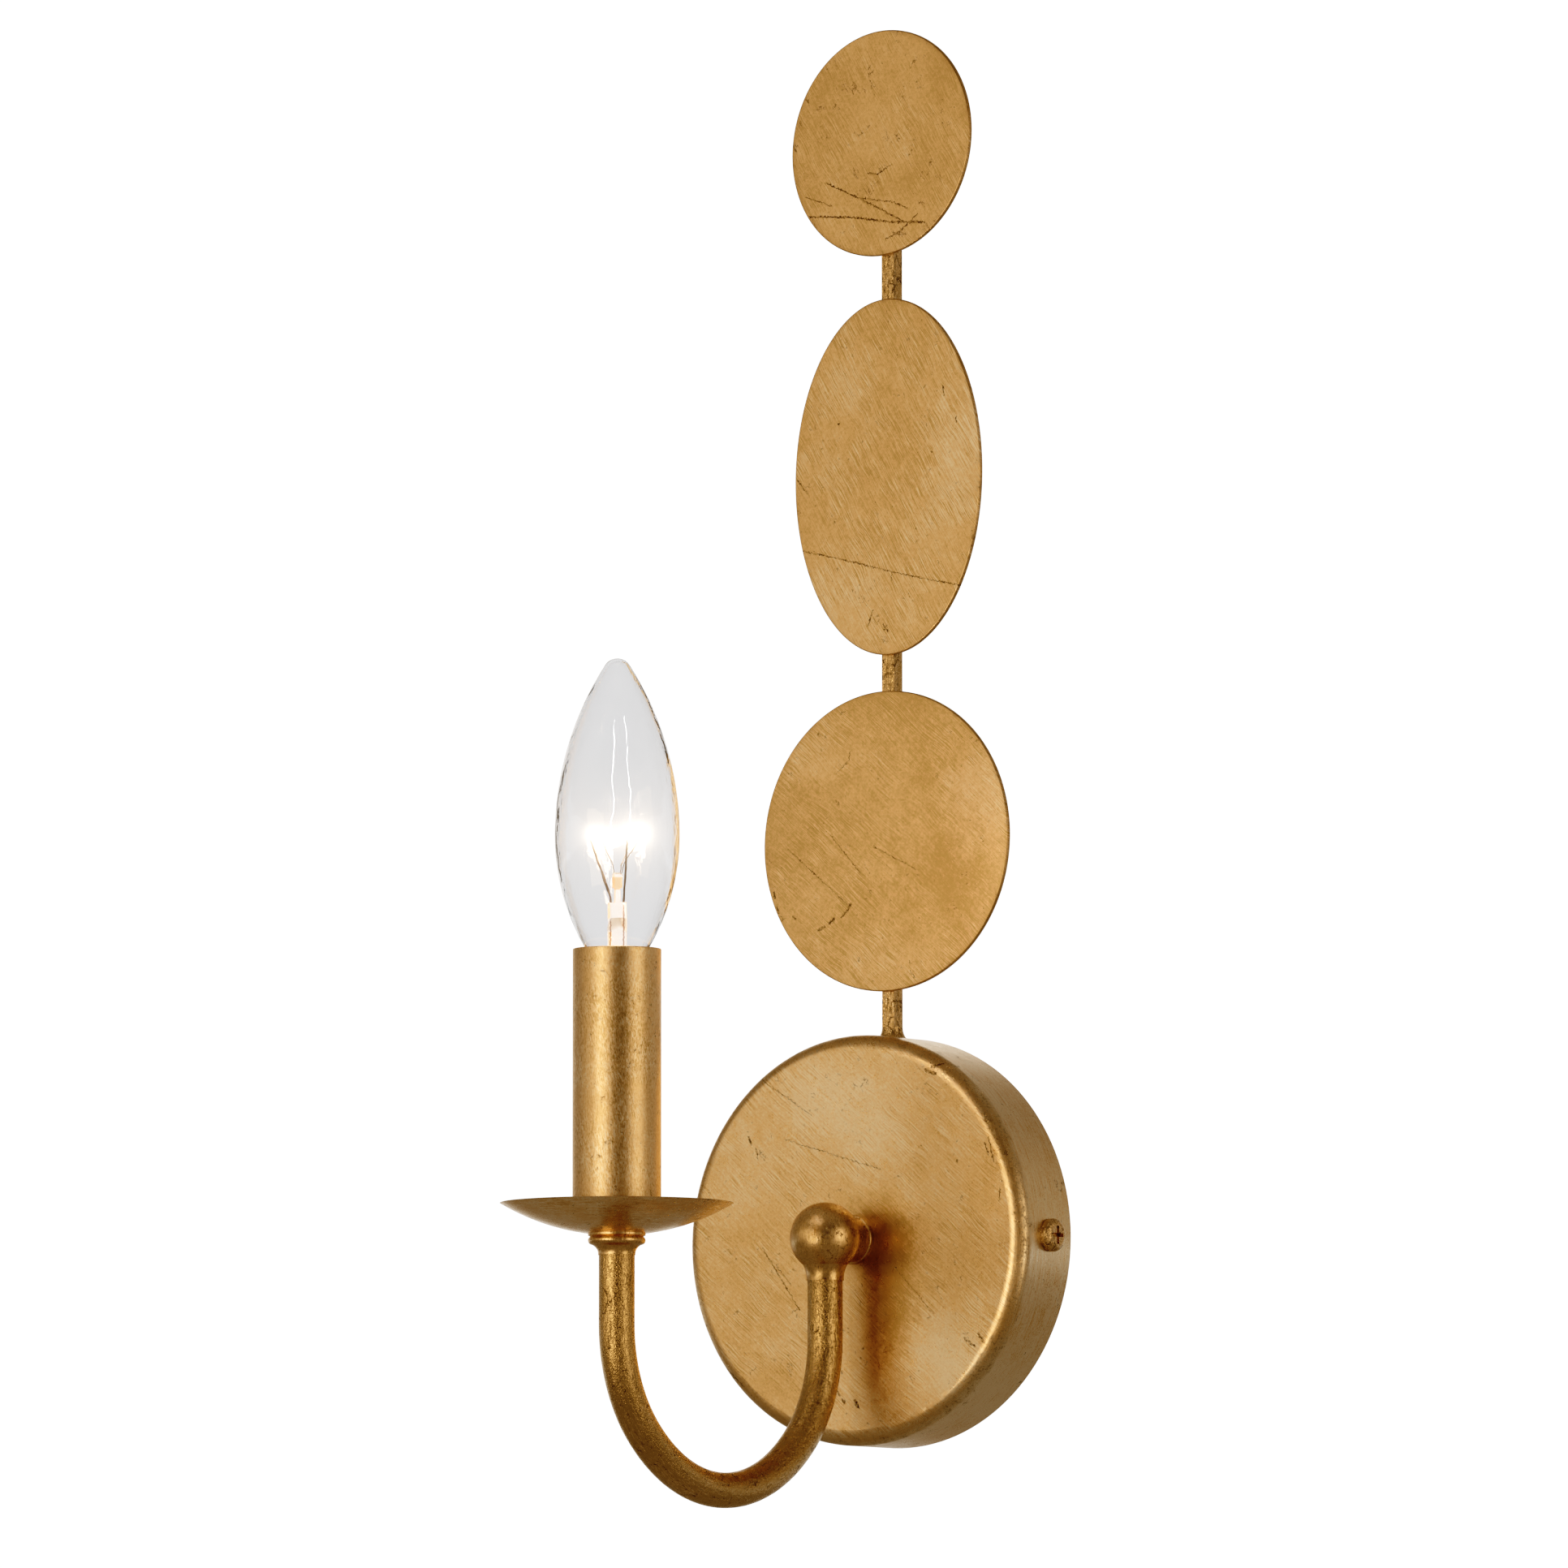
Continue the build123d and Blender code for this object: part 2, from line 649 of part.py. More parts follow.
def bulb_section(inset):
    """Half section of the bulb's outline, drawn in by the inset: neck, two long curves and a round tip."""
    upper = bulb_upper_curve - inset
    lower = bulb_lower_curve - inset
    tip = bulb_tip_curve - inset
    upper_centre = bulb_radius - bulb_upper_curve
    lower_centre = bulb_radius - bulb_lower_curve
    mouth_angle = math.acos((bulb_mouth_radius - lower_centre) / bulb_lower_curve)
    mouth = (lower_centre + lower * math.cos(mouth_angle), bulb_widest_z - lower * math.sin(mouth_angle))
    neck_radius = bulb_neck_radius - inset
    neck_z = mouth[1] - (mouth[0] - neck_radius) / math.tan(mouth_angle)
    tip_reach = math.sqrt((upper - tip) ** 2 - upper_centre**2)
    tip_angle = math.atan2(tip_reach, -upper_centre)
    tip_start = (upper_centre + upper * math.cos(tip_angle), bulb_widest_z + upper * math.sin(tip_angle))
    tip_centre_z = bulb_widest_z + tip_reach
    half_tip = (math.pi / 2 + tip_angle) / 2
    bottom_z = bulb_bottom_z - inset
    with BuildSketch(candle_plane) as section:
        with BuildLine():
            Line((0, bottom_z), (neck_radius, bottom_z))
            FilletPolyline((neck_radius, bottom_z), (neck_radius, neck_z), mouth, radius=bulb_neck_bend)
            half_angle = mouth_angle / 2
            lower_middle = (
                lower_centre + lower * math.cos(half_angle),
                bulb_widest_z - lower * math.sin(half_angle),
            )
            ThreePointArc(mouth, lower_middle, (bulb_radius - inset, bulb_widest_z))
            upper_middle = (
                upper_centre + upper * math.cos(tip_angle / 2),
                bulb_widest_z + upper * math.sin(tip_angle / 2),
            )
            ThreePointArc((bulb_radius - inset, bulb_widest_z), upper_middle, tip_start)
            tip_middle = (tip * math.cos(half_tip), tip_centre_z + tip * math.sin(half_tip))
            ThreePointArc(tip_start, tip_middle, (0, tip_centre_z + tip))
            Line((0, tip_centre_z + tip), (0, bottom_z))
        make_face()
    return section.sketch


outer_section = bulb_section(0)
inner_section = bulb_section(bulb_glass)

# Bulb: a clear torpedo-shaped glass envelope, open at the neck.
with BuildPart() as lamp_bulb:
    add(outer_section)
    revolve(axis=candle_axis)
    add(inner_section)
    revolve(axis=candle_axis, mode=Mode.SUBTRACT)
finish(lamp_bulb, "lamp_bulb")

# Glass stem: a flare that closes the neck, a tube, the flat press and a rod with a button.
flare_z = bulb_bottom_z + 0.4
flare_rim = (stem_flare_radius, flare_z + stem_flare_rim)
flare_waist = (stem_radius + 0.8, flare_z + 2.0)
flare_top = (stem_radius, flare_z + 5.0)
with BuildPart() as lamp_stem:
    with BuildSketch(candle_plane):
        with BuildLine():
            Polyline((0, flare_z), (stem_flare_radius, flare_z), flare_rim)
            ThreePointArc(flare_rim, flare_waist, flare_top)
            Polyline(flare_top, (stem_radius, press_bottom_z), (0, press_bottom_z), (0, flare_z))
        make_face()
    revolve(axis=candle_axis)
    with BuildSketch(Plane.XY.offset(press_bottom_z)):
        with Locations((0, candle_y)):
            Circle(stem_radius)
    with BuildSketch(Plane.XY.offset(press_shoulder_z)):
        with Locations((0, candle_y)):
            Ellipse(press_half_width, press_half_thickness)
    loft()
    with BuildSketch(Plane.XY.offset(press_shoulder_z)):
        with Locations((0, candle_y)):
            Ellipse(press_half_width, press_half_thickness)
    extrude(amount=press_top_z - press_shoulder_z)
    with BuildSketch(Plane.XY.offset(press_top_z)):
        with Locations((0, candle_y)):
            Circle(rod_radius)
    extrude(amount=button_bottom_z - press_top_z)
    with BuildSketch(Plane.XY.offset(button_bottom_z)):
        with Locations((0, candle_y)):
            Circle(button_radius)
    extrude(amount=button_top_z - button_bottom_z)
    fillet(lamp_stem.faces().sort_by(Axis.Z)[-1].edges(), button_radius / 2)
finish(lamp_stem, "lamp_stem")

# Lead-in wires: they rise from the press and splay out to the two ends of the filament.
lead_tips = []
for side in (-1, 1):
    angle = math.radians(-90 + side * filament_gap_angle)
    lead_tips.append((filament_radius * math.cos(angle), candle_y + filament_radius * math.sin(angle)))
lead_wires = []
for side, tip_point in zip((-1, 1), lead_tips):
    foot = (side * lamp_lead_foot_x, candle_y, press_top_z)
    knee = (side * lamp_lead_knee_x, candle_y, press_top_z + 1.5)
    tip = (*tip_point, filament_z - filament_coil_radius)
    lead_wires.append(tube_along([foot, knee, tip], 2.0, lamp_lead_radius))
with BuildPart() as lamp_leads:
    for wire in lead_wires:
        add(wire)
finish(lamp_leads, "lamp_leads")

# Filament: its coil's outer shape, an open ring between the two leads.
with BuildPart() as lamp_filament:
    with BuildLine(Plane.XY.offset(filament_z)):
        filament_arc = CenterArc(
            (0, candle_y), filament_radius, -90 + filament_gap_angle, 360 - 2 * filament_gap_angle
        )
    with BuildSketch(Plane(origin=filament_arc @ 0, z_dir=filament_arc % 0)):
        Circle(filament_coil_radius)
    sweep()
finish(lamp_filament, "lamp_filament")

# Anchors: fine wires from the stem's button that hold the filament up.
anchor_wires = []
for angle_degrees in (15, 90, 165):
    direction = (math.cos(math.radians(angle_degrees)), math.sin(math.radians(angle_degrees)))
    bends = []
    for reach, height in (
        (anchor_root, button_top_z - anchor_radius),
        (anchor_elbow, anchor_elbow_z),
        (filament_radius - filament_coil_radius - anchor_radius, filament_z),
    ):
        bends.append((reach * direction[0], candle_y + reach * direction[1], height))
    anchor_wires.append(tube_along(bends, 1.5, anchor_radius))
with BuildPart() as lamp_anchors:
    for wire in anchor_wires:
        add(wire)
finish(lamp_anchors, "lamp_anchors")

# Lamp base shell: thin metal with rolled thread rings and a rim round the bulb's neck.
base_rim_z = bulb_bottom_z + 0.6
base_mouth_radius = bulb_neck_radius + 0.05
base_root_radius = 5.55
base_crest_radius = 5.95
base_thread_z = lamp_base_bottom_z + 0.8
outer_points = []
inner_points = []
for turn in range(lamp_base_turns):
    ring_z = base_thread_z + turn * thread_pitch
    outer_points += [(base_root_radius, ring_z), (base_crest_radius, ring_z + thread_pitch / 2)]
for radius, ring_z in outer_points:
    inner_points.append((radius - lamp_base_sheet, ring_z))
thread_top_z = base_thread_z + lamp_base_turns * thread_pitch
with BuildPart() as lamp_base:
    with BuildSketch(candle_plane):
        with BuildLine():
            Polyline(
                (5.0, lamp_base_bottom_z),
                (5.3, lamp_base_bottom_z),
                *outer_points,
                (5.6, thread_top_z),
                (5.8, socket_shoulder_z + 0.6),
                (lamp_base_rim_radius, socket_shoulder_z + 1.6),
                (lamp_base_rim_radius, base_rim_z),
                (base_mouth_radius, base_rim_z),
                (base_mouth_radius, socket_shoulder_z + 1.9),
                (5.6, socket_shoulder_z + 1.1),
                (5.3, thread_top_z),
                *reversed(inner_points),
                (5.0, lamp_base_bottom_z + lamp_base_sheet),
                close=True,
            )
        make_face()
    revolve(axis=candle_axis)
finish(lamp_base, "lamp_base")

# Black glass insulator at the foot of the lamp's base.
insulator_bottom_z = lamp_contact_z + 1.2
with BuildPart() as lamp_insulator:
    with BuildSketch(candle_plane):
        with BuildLine():
            Polyline(
                (0, insulator_bottom_z),
                (2.6, insulator_bottom_z),
                (5.0, lamp_base_bottom_z - 0.6),
                (5.0, lamp_base_bottom_z),
                (4.9, lamp_base_bottom_z + 1.2),
                (0, lamp_base_bottom_z + 1.2),
                close=True,
            )
        make_face()
    revolve(axis=candle_axis)
finish(lamp_insulator, "lamp_insulator")

# Solder button: the lamp's centre contact.
with BuildPart() as lamp_contact:
    with BuildSketch(Plane.XY.offset(lamp_contact_z)):
        with Locations((0, candle_y)):
            Circle(lamp_contact_radius)
    extrude(amount=insulator_bottom_z - lamp_contact_z)
    fillet(lamp_contact.faces().sort_by(Axis.Z)[0].edges(), 0.8)
finish(lamp_contact, "lamp_contact")

# Spine: a square bar that stands on the canopy's top and runs up behind the three plates.
bar_centre_y = bar_front_y + bar_width / 2
with BuildPart() as spine_bar:
    with BuildSketch(Plane.XY.offset(canopy_radius - canopy_wall)):
        with Locations((0, bar_centre_y)):
            Rectangle(bar_width, bar_width)
    extrude(amount=bar_top_z - canopy_radius + canopy_wall)
    with BuildSketch(Plane.XZ):
        Circle(canopy_radius)
    extrude(amount=canopy_depth, mode=Mode.SUBTRACT)
finish(spine_bar, "spine_bar")

# Weld at the foot of the spine: a concave fillet all round it.
weld_toe = (weld_reach, canopy_radius - weld_sink)
weld_waist = (weld_waist_radius, canopy_radius + weld_waist_height)
weld_tip = (weld_top_radius, canopy_radius + weld_height)
with BuildPart() as spine_weld:
    with BuildSketch(Plane.XZ.offset(-bar_centre_y)):
        with BuildLine():
            Polyline((0, canopy_radius + weld_height), (0, canopy_radius - weld_sink), weld_toe)
            ThreePointArc(weld_toe, weld_waist, weld_tip)
            Line(weld_tip, (0, canopy_radius + weld_height))
        make_face()
    revolve(axis=Axis((0, bar_centre_y, 0), (0, 0, 1)))
    with BuildSketch(Plane.XZ):
        Circle(canopy_radius)
    extrude(amount=canopy_depth, mode=Mode.SUBTRACT)
    with BuildSketch(Plane.XY.offset(canopy_radius - weld_reach)):
        with Locations((0, bar_centre_y)):
            Rectangle(bar_width, bar_width)
    extrude(amount=2 * weld_reach, mode=Mode.SUBTRACT)
finish(spine_weld, "spine_weld")

# Plates: three flat pieces of sheet on the front of the spine, cut a little unevenly by hand.
plate_plane = Plane.XZ.offset(-bar_front_y)
with BuildPart() as lower_disc:
    with BuildSketch(plate_plane):
        with Locations((0, lower_disc_centre_z)):
            Ellipse(lower_disc_width, lower_disc_height)
    extrude(amount=plate_thickness)
    fillet(lower_disc.edges(), plate_edge_radius)
finish(lower_disc, "lower_disc")

with BuildPart() as oval_plate:
    with BuildSketch(plate_plane):
        with Locations((oval_centre_x, oval_centre_z)):
            Ellipse(oval_width, oval_height)
    extrude(amount=plate_thickness)
    fillet(oval_plate.edges(), plate_edge_radius)
finish(oval_plate, "oval_plate")

with BuildPart() as top_disc:
    with BuildSketch(plate_plane):
        with Locations((top_disc_centre_x, top_disc_centre_z)):
            Ellipse(top_disc_width, top_disc_height, rotation=top_disc_roll)
    extrude(amount=plate_thickness)
    fillet(top_disc.edges(), plate_edge_radius)
finish(top_disc, "top_disc")

# Weld beads behind the plates, in the corner each side of the spine.
bead_rows = []
for centre_z, half_spacing in (
    (lower_disc_centre_z, lower_disc_height / 2),
    (oval_centre_z, oval_height / 2),
    (top_bead_centre_z, top_bead_half_spacing),
):
    bead_rows += [centre_z - half_spacing, centre_z + half_spacing]
with BuildPart() as plate_welds:
    for bead_z in bead_rows:
        with BuildSketch(Plane.XY.offset(bead_z - bead_length / 2)):
            for side in (-1, 1):
                corner_x = side * bar_width / 2
                with BuildLine():
                    Polyline(
                        (corner_x, bar_front_y + bead_leg),
                        (corner_x, bar_front_y),
                        (corner_x + side * bead_leg, bar_front_y),
                        close=True,
                    )
                make_face()
        extrude(amount=bead_length)
finish(plate_welds, "plate_welds")

# Supply leads: from a connector in the canopy, through the nipple, ball and arm, to the socket.
lead_parts = []
for side in (-1, 1):
    lead_x = side * lead_spacing / 2
    with BuildPart() as supply_lead:
        with BuildLine() as lead_route:
            FilletPolyline(
                (side * connector_x, connector_y, connector_top_z),
                (side * connector_x, connector_y, lead_turn_z),
                (lead_x, lead_entry_y, 0),
                (lead_x, ball_y, 0),
                (lead_x, ball_y, arm_bend_z),
                radius=lead_bend_radii,
            )
            arm_bend(lead_x)
            Line((lead_x, candle_y, arm_bend_z), (lead_x, candle_y, socket_bottom_z))
        with BuildSketch(Plane(origin=lead_route.line @ 0, z_dir=lead_route.line % 0)):
            Circle(lead_radius)
        sweep()
    lead_parts.append(supply_lead)
finish(lead_parts[0], "lead_neutral")
finish(lead_parts[1], "lead_live")

# Twist-on connectors: one on the end of each lead.
with BuildPart() as wire_connectors:
    for side in (-1, 1):
        with BuildSketch(Plane.XY.offset(connector_top_z)):
            with Locations((side * connector_x, connector_y)):
                Circle(connector_mouth_radius)
        with BuildSketch(Plane.XY.offset(connector_top_z - connector_length)):
            with Locations((side * connector_x, connector_y)):
                Circle(connector_tip_radius)
        loft()
finish(wire_connectors, "wire_connectors")

# Ground wire: bare copper from the lug, held under the ground screw's head.
ground_loop_z = side_screw_radius + ground_wire_radius
ground_wire_y = -(bracket_thickness + ground_gap / 2)
ground_turn_x = ground_screw_x + ground_wire_turn
with BuildPart() as ground_wire:
    add(
        tube_along(
            [
                (barrel_end_x, barrel_y, 0),
                (ground_turn_x, barrel_y, 0),
                (ground_turn_x, ground_wire_y, ground_loop_z),
                (ground_screw_x - ground_wire_overrun, ground_wire_y, ground_loop_z),
            ],
            ground_wire_bends,
            ground_wire_radius,
        )
    )
finish(ground_wire, "ground_wire")
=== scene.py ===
import math

import bmesh
import bpy
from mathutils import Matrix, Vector


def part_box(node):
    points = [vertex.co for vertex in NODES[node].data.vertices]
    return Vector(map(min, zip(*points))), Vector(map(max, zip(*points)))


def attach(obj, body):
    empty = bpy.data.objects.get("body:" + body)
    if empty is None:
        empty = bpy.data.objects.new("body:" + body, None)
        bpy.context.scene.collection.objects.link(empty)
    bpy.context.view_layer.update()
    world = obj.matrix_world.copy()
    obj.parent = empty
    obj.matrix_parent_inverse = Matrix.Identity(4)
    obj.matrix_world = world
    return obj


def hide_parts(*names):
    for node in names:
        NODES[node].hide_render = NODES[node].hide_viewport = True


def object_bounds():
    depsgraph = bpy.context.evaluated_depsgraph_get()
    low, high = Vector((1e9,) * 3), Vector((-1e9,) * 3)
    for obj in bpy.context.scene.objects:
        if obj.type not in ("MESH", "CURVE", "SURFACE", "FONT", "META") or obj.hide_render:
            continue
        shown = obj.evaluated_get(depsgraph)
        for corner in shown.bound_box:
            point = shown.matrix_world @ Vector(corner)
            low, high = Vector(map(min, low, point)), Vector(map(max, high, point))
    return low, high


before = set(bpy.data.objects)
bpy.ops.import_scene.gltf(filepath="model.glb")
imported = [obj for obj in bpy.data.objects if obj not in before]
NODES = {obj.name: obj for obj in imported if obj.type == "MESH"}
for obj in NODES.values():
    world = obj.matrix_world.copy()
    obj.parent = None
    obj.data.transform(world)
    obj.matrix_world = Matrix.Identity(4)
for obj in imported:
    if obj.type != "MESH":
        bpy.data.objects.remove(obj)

# Wall light with a candle-style lamp, in antique gold leaf. Metres, +Z up, the wall is the plane Y = 0
# and the room is towards -Y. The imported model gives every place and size.

MILLIMETRE = 0.001
cad_low, cad_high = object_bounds()


def box_centre(node):
    low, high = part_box(node)
    return (low + high) / 2


def box_half(node):
    low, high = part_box(node)
    return (high - low) / 2


# ---------------------------------------------------------------------------
# Building node graphs
# ---------------------------------------------------------------------------


class Graph:
    """A material's nodes. Each method adds one node and returns the output that others use."""

    def __init__(self, name):
        self.material = bpy.data.materials.new(name)
        self.material.use_nodes = True
        self.tree = self.material.node_tree
        self.tree.nodes.clear()

    def node(self, kind, inputs=None, **settings):
        made = self.tree.nodes.new("ShaderNode" + kind)
        for key, value in settings.items():
            setattr(made, key, value)
        for key, value in (inputs or {}).items():
            if isinstance(value, bpy.types.NodeSocket):
                self.tree.links.new(value, made.inputs[key])
            elif value is not None:
                made.inputs[key].default_value = value
        return made

    def math(self, operation, a, b=None, c=None):
        inputs = {0: a, 1: b, 2: c}
        return self.node("Math", inputs, operation=operation).outputs[0]

    def vector(self, operation, a, b=None):
        return self.node("VectorMath", {0: a, 1: b}, operation=operation).outputs[0]

    def split(self, vector):
        return self.node("SeparateXYZ", {0: vector}).outputs

    def join(self, x, y, z):
        return self.node("CombineXYZ", {0: x, 1: y, 2: z}).outputs[0]

    def position(self):
        """The point in the model's frame, in millimetres."""
        place = self.node("TexCoord").outputs["Object"]
        return self.scaled(place, 1 / MILLIMETRE)

    def scaled(self, vector, factor):
        made = self.node("VectorMath", {0: vector}, operation="SCALE")
        made.inputs["Scale"].default_value = factor
        return made.outputs[0]

    def stretched(self, vector, size, turn=(0, 0, 0)):
        """The point turned by the angles in degrees, then divided by a feature size along each axis."""
        angles = [math.radians(a) for a in turn]
        turned = self.node("Mapping", {"Vector": vector, "Rotation": angles}).outputs[0]
        return self.vector("DIVIDE", turned, size)

    def noise(self, vector, scale=1.0, detail=3.0, roughness=0.55, distortion=0.0):
        inputs = {
            "Vector": vector,
            "Scale": scale,
            "Detail": detail,
            "Roughness": roughness,
            "Distortion": distortion,
        }
        return self.node("TexNoise", inputs, noise_dimensions="3D").outputs[0]

    def cells(self, vector, scale, feature="F1", output="Distance"):
        inputs = {"Vector": vector, "Scale": scale}
        return self.node("TexVoronoi", inputs, feature=feature).outputs[output]

    def warped(self, vector, amount, size):
        """The point pushed about by up to roughly the amount, over the given feature size."""
        wobble = self.node("TexNoise", {"Vector": self.scaled(vector, 1 / size), "Detail": 2.0}).outputs[1]
        centred = self.vector("SUBTRACT", wobble, (0.5, 0.5, 0.5))
        return self.vector("ADD", vector, self.scaled(centred, 2 * amount))

    def step(self, value, low, high):
        """0 below low, 1 above high and smooth between. Low may be the larger."""
        inputs = {"Value": value, "From Min": low, "From Max": high}
        return self.node("MapRange", inputs, interpolation_type="SMOOTHSTEP", clamp=True).outputs[0]

    def spread(self, value, low, high):
        """A 0 to 1 value spread over low to high."""
        return self.math("MULTIPLY_ADD", value, high - low, low)

    def mix(self, factor, a, b, blend="MIX"):
        made = self.node("Mix", data_type="RGBA", blend_type=blend, clamp_factor=True)
        for socket, value in ((made.inputs[0], factor), (made.inputs[6], a), (made.inputs[7], b)):
            if isinstance(value, bpy.types.NodeSocket):
                self.tree.links.new(value, socket)
            else:
                socket.default_value = value if isinstance(value, (int, float)) else (*value, 1.0)
        return made.outputs[2]

    def any_of(self, values):
        """The largest of several masks."""
        found = values[0]
        for value in values[1:]:
            found = self.math("MAXIMUM", found, value)
        return found

    def bump(self, height, depth, below=None):
        """A bump of the given depth in millimetres, over another bump if there is one."""
        inputs = {"Height": height, "Distance": depth * MILLIMETRE, "Strength": 1.0, "Normal": below}
        return self.node("Bump", inputs).outputs[0]

    def surface(self, inputs):
        shader = self.node("BsdfPrincipled", inputs)
        output = self.node("OutputMaterial")
        self.tree.links.new(shader.outputs[0], output.inputs[0])
        return shader


def dress(material, *names):
    """Gives the named CAD nodes a material."""
    for name in names:
        mesh = NODES[name].data
        mesh.materials.clear()
        mesh.materials.append(material)


# ---------------------------------------------------------------------------
# Gold leaf
# ---------------------------------------------------------------------------

LEAF_PALE = (1.0, 0.87, 0.66)
LEAF_MIDDLE = (0.87, 0.62, 0.36)
LEAF_DEEP = (0.61, 0.43, 0.22)
LEAF_SIZE_COAT = (0.50, 0.33, 0.16)
LEAF_GRIME = (0.16, 0.11, 0.05)
STREAK_DEPTH = 2.4


def segment_mask(g, flat, start, end, width):
    """1 on a line from start to end in the plane of a flat piece, 0 away from it. All in millimetres."""
    along = Vector((end[0] - start[0], 0, end[1] - start[1]))
    length = along.length
    towards = tuple(along / length)
    offset = g.vector("SUBTRACT", flat, (start[0], 0, start[1]))
    reach = g.node("VectorMath", {0: offset, 1: towards}, operation="DOT_PRODUCT").outputs["Value"]
    clamped = g.node("Clamp", {"Value": reach, "Min": 0.0, "Max": length}).outputs[0]
    scale_node = g.node("VectorMath", {0: towards}, operation="SCALE")
    g.tree.links.new(clamped, scale_node.inputs["Scale"])
    gap = g.vector("SUBTRACT", offset, scale_node.outputs[0])
    distance = g.node("VectorMath", {0: gap}, operation="LENGTH").outputs["Value"]
    return g.step(distance, width, width * 0.35)


def gold_leaf(
    name,
    coordinates=None,
    streak_turn=(0, 0, 0),
    streak_size=(0.5, 0.5, 9.0),
    streaks=1.0,
    crackle=0.2,
    flakes=0.0,
    flake_length=2.9,
    grime=0.3,
    roughness=0.40,
    edge=None,
    marks=None,
    seams_and_painted_light=None,
    tint=0.0,
):
    """Antique gold leaf. Streaks follow the streak frame's Z axis. Edge, marks, seams and painted light
    make masks.
    """
    g = Graph(name)
    place = g.position()
    along = coordinates(g, place) if coordinates else g.warped(place, 0.8, 30.0)
    fine = [0.5 * s for s in streak_size]

    cloud = g.noise(g.scaled(place, 1 / 24.0), detail=3, roughness=0.6, distortion=0.6)
    patch = g.noise(g.scaled(place, 1 / 5.0), detail=5, roughness=0.7, distortion=0.8)
    brush = g.noise(g.stretched(along, streak_size, streak_turn), detail=3, roughness=0.7)
    hair = g.noise(g.stretched(along, fine, streak_turn), detail=2, roughness=0.6)
    grain = g.noise(g.scaled(place, 1 / 0.8), detail=3, roughness=0.8)

    brushed = g.spread(g.step(g.noise(g.scaled(place, 1 / 13.0), detail=2), 0.35, 0.65), 0.35, 1.5)
    depth = STREAK_DEPTH * streaks
    combed = g.math("ADD", g.math("MULTIPLY", brush, depth), g.math("MULTIPLY", hair, depth))
    combed = g.math("MULTIPLY", g.math("SUBTRACT", combed, depth), brushed)

    tone = g.math("MULTIPLY", g.math("SUBTRACT", cloud, 0.5), 1.3)
    tone = g.math("MULTIPLY_ADD", g.math("SUBTRACT", patch, 0.5), 1.1, tone)
    tone = g.math("MULTIPLY_ADD", g.math("SUBTRACT", grain, 0.5), 2.2, tone)
    tone = g.math("ADD", tone, combed)
    # Tint lowers the tone of the whole piece, or raises it when below zero.
    tone = g.math("SUBTRACT", tone, tint)
    # Painted light and painted shade, paler and darker areas, join the tone here, with any seam's tone
    # step.
    if seams_and_painted_light:
        tone = g.math("ADD", tone, seams_and_painted_light(g, place))
    colour = g.mix(g.step(tone, -1.0, 0.15), LEAF_DEEP, LEAF_MIDDLE)
    colour = g.mix(g.step(tone, -0.15, 1.2), colour, LEAF_PALE)

    # The leaf wrinkles and overlaps in small flakes, with dark creases between some of them.
    crumpled = g.warped(along, 0.7, 3.0)
    creases = g.cells(g.stretched(crumpled, (2.1, 2.1, 4.6)), 1.0, "DISTANCE_TO_EDGE")
    creased = g.step(patch, 0.60 - 0.12 * crackle, 0.70 - 0.12 * crackle)
    cracks = g.math("MULTIPLY", g.step(creases, 0.07, 0.015), creased)
    wrinkle = g.noise(g.stretched(crumpled, (0.9, 0.9, flake_length)), detail=2, roughness=0.55)

    # Specks of bare ground, and short rubbed hairlines along the brushing.
    speck_noise = g.noise(g.scaled(place, 1 / 0.9), detail=2, roughness=0.5)
    specks = g.math("MULTIPLY", g.step(speck_noise, 0.70, 0.76), g.step(patch, 0.42, 0.62))
    rubbed = g.math("MULTIPLY", g.step(hair, 0.62, 0.74), g.step(cloud, 0.48, 0.62))

    dirt = [
        g.math("MULTIPLY", cracks, min(1.0, 0.45 + 0.4 * grime + 0.3 * flakes)),
        g.math("MULTIPLY", specks, 0.6),
        g.math("MULTIPLY", rubbed, 0.35 * grime + 0.1),
        g.math("MULTIPLY", g.step(wrinkle, 0.40, 0.28), 0.7 * flakes),
    ]
    if edge:
        ragged = g.math("ADD", edge(g, place), g.math("MULTIPLY", g.math("SUBTRACT", patch, 0.5), 1.4))
        worn = g.step(ragged, 0.55, 1.15)
        colour = g.mix(g.math("MULTIPLY", worn, 0.45), colour, LEAF_SIZE_COAT)
        dirt.append(g.math("MULTIPLY", g.math("MULTIPLY", worn, g.step(grain, 0.5, 0.60)), 0.5))
    if marks:
        scored = marks(g, place)
        dirt.append(g.math("MULTIPLY", scored, g.spread(g.step(grain, 0.42, 0.56), 0.3, 0.95)))
    soil = g.any_of(dirt)
    colour = g.mix(soil, colour, LEAF_GRIME)

    gloss = g.math("MULTIPLY_ADD", g.math("SUBTRACT", patch, 0.5), 0.25, roughness)
    gloss = g.math("MULTIPLY_ADD", soil, 0.25, gloss)
    gloss = g.math("MULTIPLY_ADD", g.math("SUBTRACT", grain, 0.5), 0.2, gloss)

    relief = g.bump(patch, 0.05)
    relief = g.bump(wrinkle, 0.01 + 0.36 * flakes, relief)
    relief = g.bump(hair, 0.03 * streaks, relief)
    relief = g.bump(grain, 0.025 + 0.025 * flakes, relief)
    relief = g.bump(g.math("SUBTRACT", 1.0, soil), 0.05, relief)

    g.surface(
        {
            "Base Color": colour,
            "Metallic": g.math("SUBTRACT", 1.0, g.math("MULTIPLY", soil, 0.2)),
            "Roughness": gloss,
            "Normal": relief,
        }
    )
    return g.material


